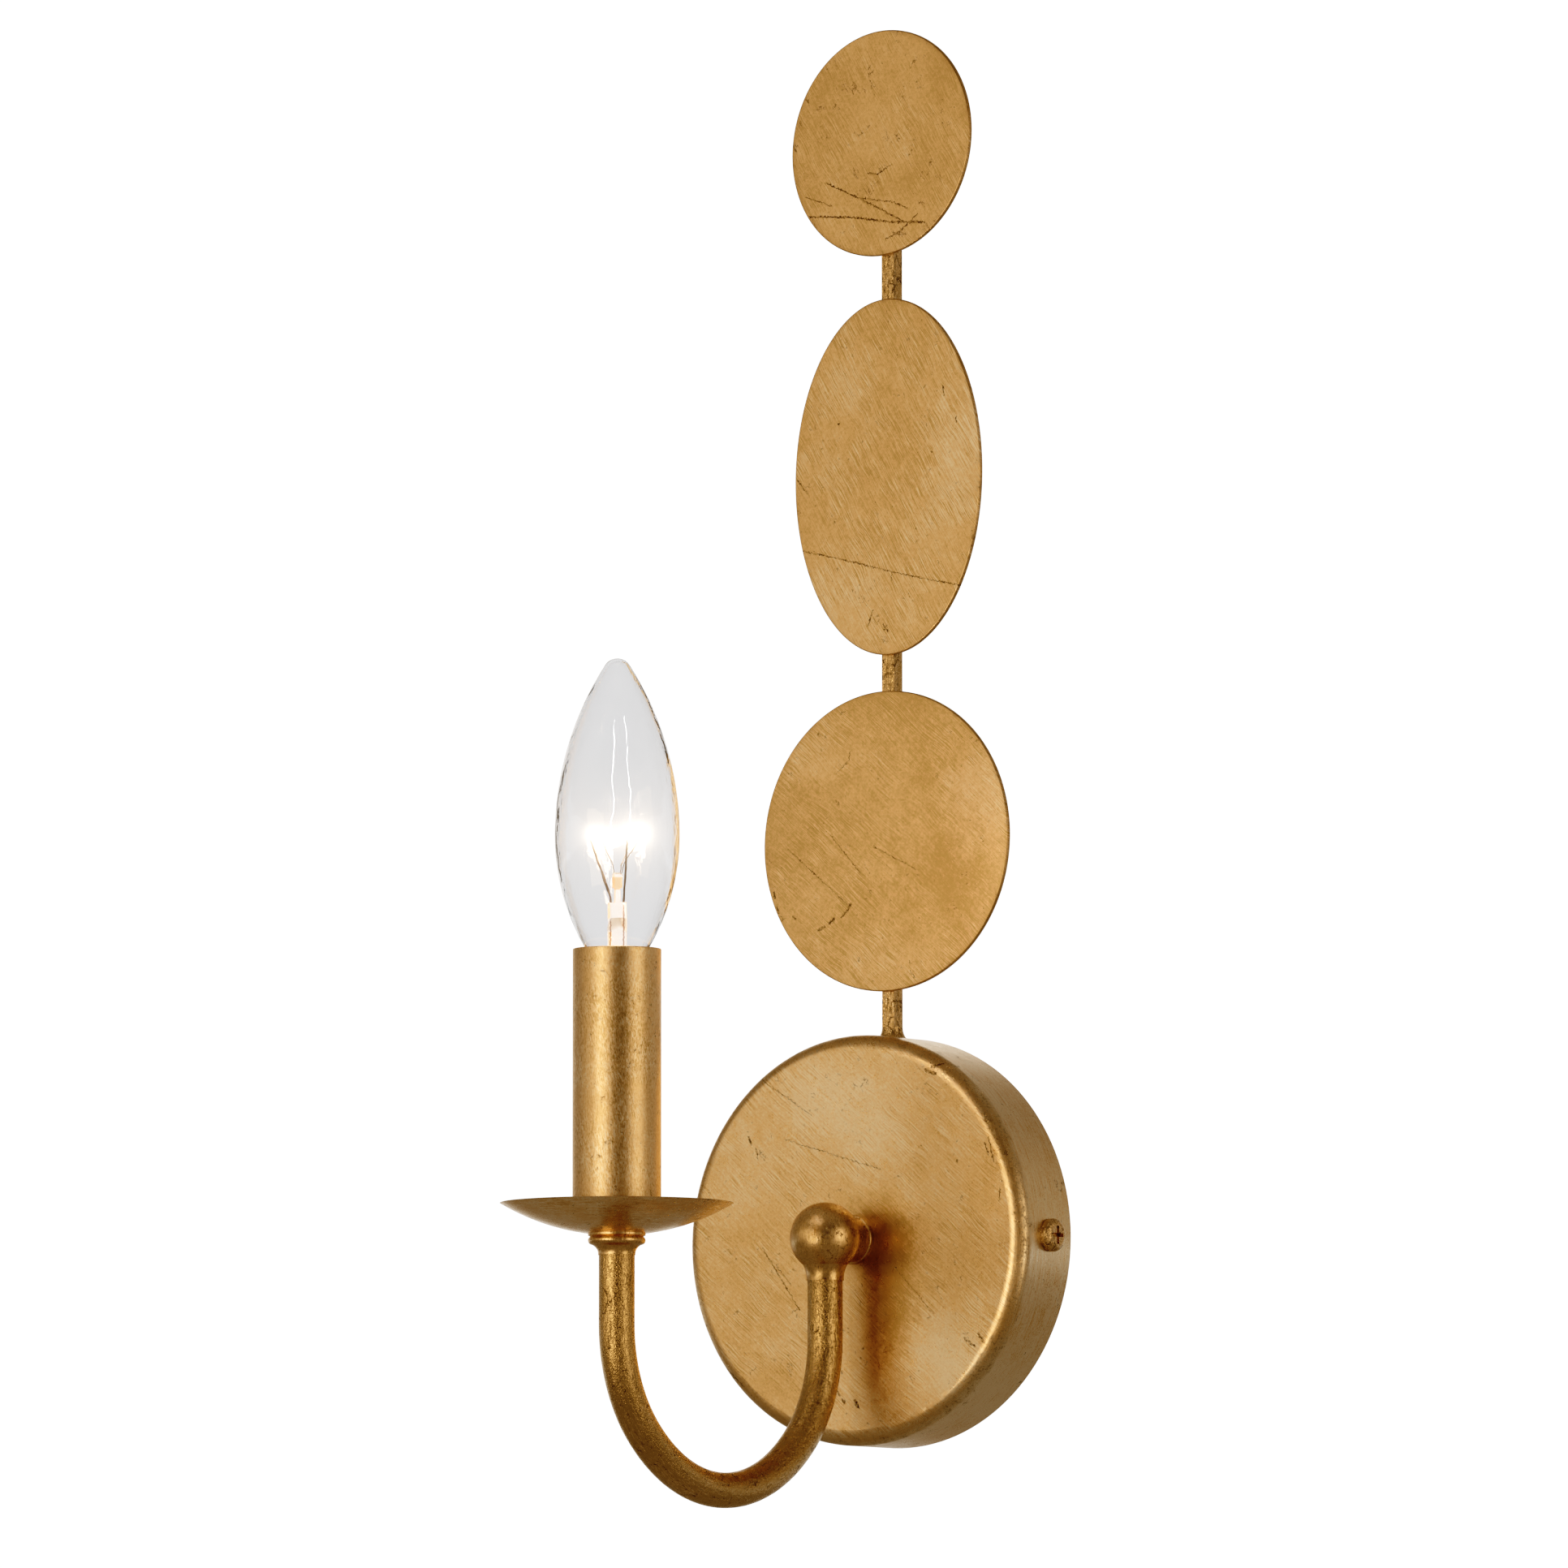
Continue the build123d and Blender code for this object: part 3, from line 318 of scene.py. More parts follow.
def plate_edge(node, start=0.80):
    """A mask that rises towards the rim of a flat plate."""
    centre = box_centre(node) / MILLIMETRE
    half = box_half(node) / MILLIMETRE

    def mask(g, place):
        offset = g.vector("SUBTRACT", place, tuple(centre))
        ratio = g.vector("DIVIDE", offset, (half.x, 1e6, half.z))
        radius = g.node("VectorMath", {0: ratio}, operation="LENGTH").outputs["Value"]
        return g.step(radius, start, 1.05)

    return mask


def plate_marks(node, strokes):
    """Scratches and seams on a flat plate, given in shares of its half width and half height."""
    centre = box_centre(node) / MILLIMETRE
    half = box_half(node) / MILLIMETRE

    def mask(g, place):
        x, _, z = g.split(g.warped(place, 0.8, 3.5))
        flat = g.join(x, 0.0, z)
        found = []
        for width, *points in strokes:
            spots = [(centre.x + u * half.x, centre.z + v * half.z) for u, v in points]
            for start, end in zip(spots, spots[1:]):
                found.append(segment_mask(g, flat, start, end, width))
        return g.any_of(found)

    return mask


def painted_light_patches(node, spots):
    """Painted light and painted shade on a flat piece: paler and deeper areas, each with place, size and
    strength, in shares of its half sizes.
    """
    centre = box_centre(node) / MILLIMETRE
    half = box_half(node) / MILLIMETRE

    def mask(g, place):
        soft = g.warped(place, 5.0, 16.0)
        total = None
        for u, v, wide, tall, strength in spots:
            offset = g.vector("SUBTRACT", soft, (centre.x + u * half.x, 0, centre.z + v * half.z))
            ratio = g.vector("DIVIDE", offset, (wide * half.x, 1e6, tall * half.z))
            radius = g.node("VectorMath", {0: ratio}, operation="LENGTH").outputs["Value"]
            share = g.math("MULTIPLY", g.step(radius, 1.0, 0.1), strength)
            total = g.math("ADD", total, share) if total else share
        return total

    return mask


def below_seam(start, end, node, strength):
    """A tone step below a seam between two sheets of leaf."""
    centre = box_centre(node) / MILLIMETRE
    half = box_half(node) / MILLIMETRE
    run = (end[0] - start[0]) * half.x
    slope = (end[1] - start[1]) * half.z / run
    at_axis = centre.z + start[1] * half.z - slope * (centre.x + start[0] * half.x)

    def mask(g, place):
        x, _, z = g.split(g.warped(place, 0.8, 3.5))
        seam = g.math("MULTIPLY_ADD", x, slope, at_axis)
        return g.math("MULTIPLY", g.step(g.math("SUBTRACT", seam, z), -0.4, 0.4), strength)

    return mask


def both(first, second):
    """Two masks added together."""
    return lambda g, place: g.math("ADD", first(g, place), second(g, place))


def reach_in_plane(g, first, second):
    """Distance from the origin of a plane."""
    squares = g.math("ADD", g.math("MULTIPLY", first, first), g.math("MULTIPLY", second, second))
    return g.math("SQRT", squares)


def sheet_coordinates(turn):
    """Coordinates on a flat sheet: the brushing runs along Z, at an angle in degrees to the vertical."""

    def frame_of(g, place):
        x, _, z = g.split(g.warped(place, 1.3, 60.0))
        return g.stretched(g.join(x, 0.0, z), (1, 1, 1), (0, turn, 0))

    return frame_of


def canopy_coordinates(g, place):
    """On the face the brushing runs at a slant. On the side wall it runs round the wall."""
    low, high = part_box("canopy")
    radius = (high.x - low.x) / 2 / MILLIMETRE
    x, y, z = g.split(place)
    round_wall = g.math("MULTIPLY", g.math("ARCTAN2", z, x), radius)
    on_wall = g.step(reach_in_plane(g, x, z), radius - 2.5, radius - 0.5)
    inputs = {0: on_wall, 4: sheet_coordinates(50)(g, place), 5: g.join(y, 0.0, round_wall)}
    return g.node("Mix", inputs, data_type="VECTOR").outputs[1]


def turned_coordinates(node):
    """Coordinates round a turned piece with a vertical axis: X away from the axis, Y up, Z round it."""
    centre = box_centre(node) / MILLIMETRE
    half = box_half(node) / MILLIMETRE

    def frame_of(g, place):
        x, y, z = g.split(g.warped(place, 1.0, 30.0))
        off_y = g.math("SUBTRACT", y, centre.y)
        angle = g.math("ARCTAN2", x, g.math("MULTIPLY", off_y, -1.0))
        return g.join(reach_in_plane(g, x, off_y), z, g.math("MULTIPLY", angle, 0.6 * half.x))

    return frame_of


ARM_CORNER_RADIUS = 42.0


def pipe_coordinates(g, place):
    """Coordinates that follow the bent pipe: X across it, Y outwards from the bend, Z along it.

    Each half of the bend is a 45 degree corner and then half of a flatter bottom.
    """
    low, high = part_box("arm_tube")
    pipe_radius = (high.x - low.x) / 2 / MILLIMETRE
    half_span = (high.y - low.y) / 2 / MILLIMETRE - pipe_radius
    eighth = math.radians(45)
    bottom_radius = (half_span - ARM_CORNER_RADIUS) / math.sin(eighth) + ARM_CORNER_RADIUS
    bottom_z = low.z / MILLIMETRE + pipe_radius + bottom_radius
    corner_z = bottom_z - (bottom_radius - ARM_CORNER_RADIUS) * math.cos(eighth)
    bottom_length = bottom_radius * eighth

    x, y, z = g.split(place)
    side = g.math("SUBTRACT", y, (low.y + high.y) / 2 / MILLIMETRE)
    off_y = g.math("ABSOLUTE", side)

    def round_arc(centre_y, centre_z, radius, start_angle, start_length):
        away = g.math("SUBTRACT", off_y, centre_y)
        under = g.math("MULTIPLY", g.math("SUBTRACT", z, centre_z), -1.0)
        angle = g.math("SUBTRACT", g.math("ARCTAN2", away, under), start_angle)
        length = g.math("MULTIPLY_ADD", angle, radius, start_length)
        return angle, g.join(x, g.math("SUBTRACT", reach_in_plane(g, away, under), radius), length)

    bottom_angle, bottom = round_arc(0.0, bottom_z, bottom_radius, 0.0, 0.0)
    _, corner = round_arc(half_span - ARM_CORNER_RADIUS, corner_z, ARM_CORNER_RADIUS, eighth, bottom_length)
    rise = g.math("ADD", z, bottom_length + ARM_CORNER_RADIUS * eighth - corner_z)
    straight = g.join(x, g.math("SUBTRACT", off_y, half_span), rise)

    past_bottom = g.math("GREATER_THAN", bottom_angle, eighth)
    past_corner = g.math("GREATER_THAN", z, corner_z)
    bent = g.node("Mix", {0: past_bottom, 4: bottom, 5: corner}, data_type="VECTOR").outputs[1]
    followed = g.node("Mix", {0: past_corner, 4: bent, 5: straight}, data_type="VECTOR").outputs[1]
    across, outwards, length = g.split(followed)
    return g.join(across, outwards, g.math("MULTIPLY", length, g.math("SIGN", side)))


def canopy_edge(g, place):
    """Rises round the canopy's rounded front edge."""
    low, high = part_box("canopy")
    radius = (high.x - low.x) / 2 / MILLIMETRE
    front = low.y / MILLIMETRE
    x, y, z = g.split(place)
    reach = g.math("SQRT", g.math("ADD", g.math("MULTIPLY", x, x), g.math("MULTIPLY", z, z)))
    outer = g.step(reach, radius - 8.0, radius)
    forward = g.step(y, front + 9.0, front + 2.0)
    return g.math("MULTIPLY", outer, forward)


def painted_light_on_canopy_wall(strength):
    """Painted light: a paler tone step on the canopy's side wall."""
    low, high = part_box("canopy")
    radius = (high.x - low.x) / 2 / MILLIMETRE

    def mask(g, place):
        x, _, z = g.split(place)
        return g.math("MULTIPLY", g.step(reach_in_plane(g, x, z), radius - 1.5, radius - 0.3), strength)

    return mask


PLATE_STREAKS = dict(coordinates=sheet_coordinates(32), streak_size=(0.42, 1.0, 16.0))

gilt_oval = gold_leaf(
    "gilt_oval",
    **PLATE_STREAKS,
    streaks=1.1,
    crackle=0.1,
    grime=0.35,
    tint=0.12,
    edge=plate_edge("oval_plate", 0.86),
    marks=plate_marks(
        "oval_plate",
        (
            (0.20, (-0.95, -0.378), (-0.31, -0.475), (0.05, -0.537), (0.80, -0.644)),
            (0.22, (0.05, -0.54), (0.045, -0.585)),
            (0.30, (-0.155, -0.747), (-0.21, -0.834)),
            (0.34, (-0.045, -0.828), (0.005, -0.868)),
            (0.30, (0.0, -0.83), (-0.035, -0.862)),
            (0.28, (0.60, 0.49), (0.615, 0.43)),
            (0.24, (0.74, 0.31), (0.745, 0.27)),
            (0.40, (-0.53, 0.32), (-0.525, 0.318)),
            (0.42, (0.477, 0.122), (0.482, 0.120)),
            (0.42, (0.31, -0.307), (0.315, -0.309)),
            (0.20, (-0.98, 0.02), (-0.87, -0.06)),
        ),
    ),
    # Painted light and painted shade: paler on the right, upper left and lower left, darker along the top
    # and in the middle. The tone step below the seam is the leaf's own.
    seams_and_painted_light=both(
        below_seam((-0.95, -0.378), (0.80, -0.644), "oval_plate", 0.14),
        painted_light_patches(
            "oval_plate",
            (
                (0.80, 0.15, 0.55, 0.75, 0.55),
                (-0.55, 0.55, 0.45, 0.35, 0.25),
                (-0.65, -0.60, 0.5, 0.3, 0.2),
                (0.0, 1.0, 0.8, 0.22, -0.4),
                (-0.05, 0.1, 0.5, 0.5, -0.1),
            ),
        ),
    ),
)
gilt_top = gold_leaf(
    "gilt_top",
    **PLATE_STREAKS,
    streaks=0.7,
    crackle=0.35,
    grime=0.45,
    tint=0.26,
    edge=plate_edge("top_disc", 0.84),
    marks=plate_marks(
        "top_disc",
        (
            (0.36, (-0.80, -0.60), (-0.31, -0.637), (0.11, -0.71), (0.50, -0.738)),
            (0.26, (-0.62, -0.31), (-0.264, -0.463), (-0.03, -0.573), (0.27, -0.72)),
            (0.20, (-0.264, -0.463), (0.16, -0.54), (0.30, -0.60)),
            (0.20, (-0.145, -0.26), (-0.03, -0.275), (0.13, -0.196)),
            (0.24, (0.05, -0.86), (0.22, -0.80), (0.42, -0.66)),
            (0.20, (-0.85, -0.42), (-0.55, -0.52)),
        ),
    ),
    # Painted light and painted shade: paler in the middle and at the lower left, darker at the upper right.
    seams_and_painted_light=painted_light_patches(
        "top_disc", ((0.0, 0.1, 0.7, 0.6, 0.12), (-0.5, -0.75, 0.5, 0.3, 0.15), (0.8, 0.5, 0.5, 0.6, -0.15))
    ),
)
gilt_lower = gold_leaf(
    "gilt_lower",
    coordinates=sheet_coordinates(50),
    streak_size=(0.42, 1.0, 16.0),
    streaks=0.8,
    crackle=0.2,
    grime=0.35,
    tint=0.40,
    edge=plate_edge("lower_disc", 0.86),
    marks=plate_marks(
        "lower_disc",
        (
            (0.20, (-0.40, 0.47), (-0.30, 0.55), (-0.29, 0.61)),
            (0.15, (-0.80, -0.02), (-0.31, -0.41)),
            (0.14, (-0.45, 0.06), (-0.20, -0.21)),
            (0.13, (-0.10, -0.03), (0.25, -0.20)),
            (0.55, (-0.55, -0.57), (-0.50, -0.55)),
            (0.60, (-0.46, -0.53), (-0.42, -0.50)),
            (0.50, (-0.36, -0.49), (-0.30, -0.44)),
            (0.55, (-0.30, -0.43), (-0.285, -0.41)),
            (0.42, (-0.76, -0.47), (-0.74, -0.49)),
            (0.45, (-0.92, -0.30), (-0.91, -0.34)),
            (0.45, (-0.89, -0.40), (-0.88, -0.44)),
            (0.24, (0.20, -0.87), (0.24, -0.92)),
        ),
    ),
    # Painted light and painted shade: paler on the right, upper left and bottom, darker right of the middle
    # and along the top.
    seams_and_painted_light=painted_light_patches(
        "lower_disc",
        (
            (0.85, 0.2, 0.5, 0.6, 0.45),
            (-0.55, 0.6, 0.5, 0.35, 0.25),
            (-0.1, -0.85, 0.8, 0.35, 0.25),
            (0.55, -0.25, 0.4, 0.4, -0.25),
            (0.0, 1.0, 0.6, 0.25, -0.25),
        ),
    ),
)
gilt_canopy = gold_leaf(
    "gilt_canopy",
    coordinates=canopy_coordinates,
    streak_size=(0.42, 1.0, 20.0),
    streaks=0.9,
    crackle=0.25,
    grime=0.4,
    roughness=0.31,
    tint=-0.05,
    edge=canopy_edge,
    marks=plate_marks(
        "canopy",
        (
            (0.45, (-0.623, 0.525), (-0.608, 0.485)),
            (0.40, (-0.583, 0.465), (-0.568, 0.435)),
            (0.70, (0.429, 0.808), (0.492, 0.79)),
            (0.55, (0.467, 0.823), (0.517, 0.838)),
            (0.45, (0.614, 0.360), (0.622, 0.358)),
            (0.40, (0.404, 0.442), (0.410, 0.440)),
            (0.50, (-0.357, -0.132), (-0.351, -0.134)),
            (0.26, (-0.537, -0.027), (-0.318, -0.331)),
            (0.22, (-0.455, -0.117), (-0.367, -0.211)),
            (0.40, (0.802, 0.467), (0.832, 0.36)),
            (0.34, (0.781, 0.441), (0.800, 0.385)),
            (0.36, (0.870, 0.218), (0.866, 0.163)),
            (0.55, (0.660, -0.498), (0.717, -0.538)),
            (0.50, (0.741, -0.48), (0.775, -0.52)),
            (0.50, (-0.100, -0.729), (-0.081, -0.753)),
            (0.60, (0.011, -0.783), (0.035, -0.819)),
            (0.55, (-0.066, -0.773), (-0.047, -0.793)),
            (0.40, (-0.767, -0.608), (-0.659, -0.698)),
            (0.14, (-0.416, 0.505), (0.166, 0.337)),
            (0.14, (-0.562, 0.808), (-0.245, 0.617)),
            (0.14, (0.238, -0.131), (0.478, -0.375)),
        ),
    ),
    # Painted light and painted shade: the side wall, top, upper left, lower right and bottom are painted
    # paler and the right a little darker. Two dark areas right of the neck and below it are a painted
    # shadow and reflection of the arm.
    seams_and_painted_light=both(
        painted_light_on_canopy_wall(0.65),
        painted_light_patches(
            "canopy",
            (
                (-0.05, 0.62, 0.8, 0.45, 0.65),
                (-0.75, 0.35, 0.35, 0.5, 0.25),
                (0.55, -0.60, 0.45, 0.4, 0.75),
                (-0.1, -0.85, 0.6, 0.3, 0.2),
                (0.62, 0.05, 0.35, 0.5, -0.15),
                (0.16, 0.02, 0.30, 0.30, -1.1),
                (0.22, -0.30, 0.20, 0.55, -1.0),
            ),
        ),
    ),
)
gilt_sleeve = gold_leaf(
    "gilt_sleeve",
    streak_turn=(0, 12, 0),
    streak_size=(0.5, 0.5, 2.6),
    streaks=1.0,
    crackle=0.2,
    flakes=0.05,
    grime=0.5,
    roughness=0.39,
)
gilt_arm = gold_leaf(
    "gilt_arm",
    coordinates=pipe_coordinates,
    streak_size=(0.5, 0.5, 4.0),
    streaks=1.0,
    crackle=0.5,
    flakes=0.8,
    flake_length=4.4,
    grime=0.7,
    roughness=0.25,
    tint=0.95,
)
gilt_turned = gold_leaf(
    "gilt_turned", streaks=0.6, crackle=0.5, flakes=0.18, grime=0.7, roughness=0.30, tint=0.3
)
gilt_dish = gold_leaf(
    "gilt_dish",
    coordinates=turned_coordinates("bobeche"),
    streak_size=(1.0, 0.5, 8.0),
    streaks=0.9,
    crackle=0.3,
    flakes=0.0,
    grime=0.6,
    roughness=0.24,
    tint=-0.35,
)
gilt_bar = gold_leaf("gilt_bar", streaks=0.9, crackle=1.2, flakes=0.9, grime=0.9, roughness=0.28, tint=0.4)

dress(gilt_oval, "oval_plate")
dress(gilt_top, "top_disc")
dress(gilt_lower, "lower_disc")
dress(gilt_canopy, "canopy")
dress(gilt_sleeve, "candle_sleeve")
dress(gilt_arm, "arm_tube")
dress(gilt_turned, "arm_ball", "ball_neck", "arm_collar")
dress(gilt_dish, "bobeche")
dress(gilt_bar, "spine_bar", "spine_weld", "plate_welds", "canopy_screws")


# ---------------------------------------------------------------------------
# Hidden metal, plastic and wire
# ---------------------------------------------------------------------------


def plain_metal(name, bright, dull, roughness, stain=0.3, brush=(0.3, 0.3, 3.0)):
    """Bare metal with fine brushing and a little staining."""
    g = Graph(name)
    place = g.position()
    blot = g.noise(g.scaled(place, 1 / 4.0), detail=4, roughness=0.65, distortion=0.8)
    lines = g.noise(g.stretched(place, brush), detail=3, roughness=0.6)
    colour = g.mix(g.math("MULTIPLY", g.step(blot, 0.45, 0.75), stain), bright, dull)
    colour = g.mix(g.math("MULTIPLY", g.step(lines, 0.45, 0.8), 0.35), colour, dull)
    gloss = g.math("ADD", g.math("MULTIPLY", blot, 0.22), roughness - 0.11)
    relief = g.bump(lines, 0.01)
    g.surface({"Base Color": colour, "Metallic": 1.0, "Roughness": gloss, "Normal": relief})
    return g.material


def moulded(name, base, variation, roughness, grain_size=0.8, coat=0.0):
    """Moulded plastic, rubber or phenolic with a faint mottle and grain."""
    g = Graph(name)
    place = g.position()
    mottle = g.noise(g.scaled(place, 1 / 3.0), detail=4, roughness=0.6, distortion=1.0)
    grain = g.noise(g.scaled(place, 1 / grain_size), detail=3, roughness=0.6)
    colour = g.mix(g.step(mottle, 0.3, 0.75), base, variation)
    gloss = g.math("ADD", g.math("MULTIPLY", grain, 0.16), roughness - 0.08)
    relief = g.bump(mottle, 0.03, g.bump(grain, 0.015))
    g.surface({"Base Color": colour, "Roughness": gloss, "Normal": relief, "Coat Weight": coat})
    return g.material


dress(
    plain_metal("zinc_plate", (0.62, 0.62, 0.60), (0.38, 0.37, 0.34), 0.34),
    "mounting_bracket",
    "arm_nipple",
    "arm_nut",
    "arm_lock_washer",
    "bobeche_locknut",
    "socket_strap",
    "ground_lug",
    "strap_rivet",
)
dress(plain_metal("green_steel", (0.05, 0.30, 0.12), (0.02, 0.12, 0.05), 0.38), "ground_screw")
dress(
    plain_metal("socket_brass", (0.78, 0.56, 0.24), (0.42, 0.27, 0.10), 0.30),
    "socket_shell",
    "socket_contact",
)
dress(plain_metal("nickel_brass", (0.72, 0.68, 0.58), (0.45, 0.38, 0.26), 0.28, 0.45), "lamp_base")
dress(plain_metal("solder", (0.62, 0.62, 0.63), (0.36, 0.36, 0.38), 0.42, 0.6), "lamp_contact")
dress(plain_metal("bare_copper", (0.75, 0.34, 0.18), (0.34, 0.15, 0.09), 0.32, 0.5), "ground_wire")
dress(moulded("phenolic", (0.030, 0.018, 0.013), (0.055, 0.032, 0.021), 0.42, coat=0.2), "socket_body")
dress(moulded("black_glass", (0.012, 0.012, 0.016), (0.035, 0.03, 0.045), 0.16), "lamp_insulator")
dress(moulded("black_insulation", (0.018, 0.018, 0.018), (0.032, 0.031, 0.03), 0.48), "lead_live")
dress(moulded("white_insulation", (0.74, 0.73, 0.69), (0.62, 0.60, 0.54), 0.46), "lead_neutral")
dress(moulded("orange_plastic", (0.72, 0.19, 0.02), (0.60, 0.14, 0.015), 0.36), "wire_connectors")

# ---------------------------------------------------------------------------
# Lamp
# ---------------------------------------------------------------------------


# The wires cast in the stem are drawn on the side of its glass that faces this azimuth, in degrees.
WIRES_FACE = 36.0


def cast_wire_mask(g, place, reach, top):
    """1 on two wavy wires in the glass stem, a distance from its middle and below a height, in mm."""
    x, y, _ = g.split(g.vector("SUBTRACT", place, tuple(box_centre("lamp_stem") / MILLIMETRE)))
    height = g.split(place)[2]
    along_x, along_y = math.cos(math.radians(WIRES_FACE)), math.sin(math.radians(WIRES_FACE))
    across = g.math("ADD", g.math("MULTIPLY", x, along_x), g.math("MULTIPLY", y, along_y))
    towards = g.math("SUBTRACT", g.math("MULTIPLY", x, along_y), g.math("MULTIPLY", y, along_x))
    wobble = g.noise(g.join(0.0, 0.0, g.math("MULTIPLY", height, 0.9)), detail=2)
    off_middle = g.math("ABSOLUTE", across)
    swayed = g.math("MULTIPLY_ADD", g.math("SUBTRACT", wobble, 0.5), 1.0, off_middle)
    wire = g.step(g.math("ABSOLUTE", g.math("SUBTRACT", swayed, reach)), 0.30, 0.14)
    wire = g.math("MULTIPLY", wire, g.step(towards, 0.2, 0.6))
    return g.math("MULTIPLY", wire, g.step(height, top, top - 0.5))


def clear_glass(name, tint, ripple, glow=0.0, amber_band=None, cast_wires=None):
    """Clear blown glass: its surface ripples a little, which bends the highlights.

    Glow is a painted glow of the lamp's light in the glass. The glass's colour is painted darker towards
    its outline, a painted shade. The amber band gives the heights, in mm, of a stained part. The cast wires
    are given by their distance from the middle and their top.
    """
    g = Graph(name)
    place = g.position()
    waves = g.noise(g.stretched(place, (6.0, 6.0, 9.0)), detail=2, roughness=0.4)
    relief = g.bump(waves, ripple)
    colour = g.mix(g.step(waves, 0.3, 0.7), tint, [0.985 * c for c in tint])
    # Painted shade: the glass's colour is darker towards its outline.
    outline = g.node("LayerWeight", {"Blend": 0.5}).outputs["Facing"]
    colour = g.mix(g.step(outline, 0.35, 1.0), colour, [0.86 * c for c in tint])
    if amber_band:
        low, high = amber_band
        height = g.split(place)[2]
        stained = g.math("MULTIPLY", g.step(height, low, low + 0.4), g.step(height, high, high - 0.4))
        colour = g.mix(stained, colour, (0.80, 0.50, 0.26))
    # Painted glow: the glass gives off light of its own, standing in for the lamp's light carried in it.
    strength = glow
    if cast_wires:
        wire = cast_wire_mask(g, place, *cast_wires)
        colour = g.mix(wire, colour, (0.34, 0.15, 0.09))
        strength = g.math("MULTIPLY", g.math("SUBTRACT", 1.0, wire), glow)
    g.surface(
        {
            "Base Color": colour,
            "Roughness": 0.0,
            "IOR": 1.47,
            "Transmission Weight": 1.0,
            "Emission Color": (1.0, 0.72, 0.50, 1.0),
            "Emission Strength": strength,
            "Normal": relief,
        }
    )
    return g.material


dress(clear_glass("bulb_glass", (0.97, 0.972, 0.98), 0.25), "lamp_bulb")
# The stem's glass has a painted glow of the lamp's light.
stem_glass = clear_glass(
    "stem_glass", (0.99, 0.945, 0.90), 0.35, glow=0.25, amber_band=(95, 99), cast_wires=(1.9, 91)
)
dress(stem_glass, "lamp_stem")
dress(plain_metal("lamp_wire", (0.24, 0.17, 0.12), (0.12, 0.08, 0.055), 0.5), "lamp_leads", "lamp_anchors")

for name in ("lamp_bulb", "lamp_stem"):
    NODES[name].visible_shadow = False


FILAMENT_GLOW = 60.0


def glowing_wire():
    """Hot tungsten: an even glow whose colour varies a little along the filament."""
    g = Graph("filament_glow")
    place = g.position()
    flicker = g.noise(g.scaled(place, 1 / 2.5), detail=2)
    colour = g.mix(flicker, (1.0, 0.80, 0.58), (1.0, 0.86, 0.68))
    g.surface(
        {
            "Base Color": (0.4, 0.35, 0.3, 1.0),
            "Roughness": 0.5,
            "Emission Color": colour,
            "Emission Strength": FILAMENT_GLOW,
        }
    )
    return g.material


def coiled_filament(name):
    """The filament: fine wire wound on a ring that rises and falls between its anchors."""
    low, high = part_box("lamp_filament")
    margin = 0.35 * MILLIMETRE
    ring_radius = (high.x - low.x) / 2 - margin
    centre_y = high.y - margin - ring_radius
    centre_z = (low.z + high.z) / 2
    half_gap = math.radians(58.5)
    start = -math.pi / 2 + half_gap
    sweep = 2 * math.pi - 2 * half_gap
    rises = 9
    rise = 2.6 * MILLIMETRE
    coil_radius = 0.42 * MILLIMETRE
    wire_radius = 0.13 * MILLIMETRE
    turns = 150
    steps = 12
    curve = bpy.data.curves.new(name, "CURVE")
    curve.dimensions = "3D"
    curve.bevel_depth = wire_radius
    curve.bevel_resolution = 1
    spline = curve.splines.new("POLY")
    count = turns * steps
    spline.points.add(count)
    for i in range(count + 1):
        share = i / count
        angle = start + sweep * share
        wave = abs(math.sin(math.pi * rises * share))
        twist = 2 * math.pi * turns * share
        radius = ring_radius + coil_radius * math.cos(twist)
        height = centre_z + rise * (wave - 0.1) + coil_radius * math.sin(twist)
        spline.points[i].co = (radius * math.cos(angle), centre_y + radius * math.sin(angle), height, 1.0)
    made = bpy.data.objects.new(name, curve)
    bpy.context.scene.collection.objects.link(made)
    return made


filament = coiled_filament("filament_coil")
filament.data.materials.append(glowing_wire())
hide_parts("lamp_filament")
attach(filament, "lamp")

# ---------------------------------------------------------------------------
# Studio: world, floor, lights and camera
# ---------------------------------------------------------------------------

CAMERA_AZIMUTH = 35.6
CAMERA_ELEVATION = -5.1
CAMERA_DISTANCE = 3.992
centre = (cad_low + cad_high) / 2
AIM_SHIFT = Vector((0.0199, 0.00025, -0.0110))
aim = centre + AIM_SHIFT


def direction(azimuth, elevation):
    """Unit vector from the object: azimuth 0 is straight out from the wall and 90 is to the right."""
    a, e = math.radians(azimuth), math.radians(elevation)
    return Vector((math.sin(a) * math.cos(e), -math.cos(a) * math.cos(e), math.sin(e)))


def place_facing(item, place, target):
    item.location = place
    item.rotation_mode = "QUATERNION"
    item.rotation_quaternion = (target - place).to_track_quat("-Z", "Y")


camera_data = bpy.data.cameras.new("camera")
camera_data.lens = 316.8
camera_data.sensor_width = 36.0
camera_data.clip_end = 100.0
camera = bpy.data.objects.new("camera", camera_data)
bpy.context.scene.collection.objects.link(camera)
place_facing(camera, aim + CAMERA_DISTANCE * direction(CAMERA_AZIMUTH, CAMERA_ELEVATION), aim)
bpy.context.scene.camera = camera


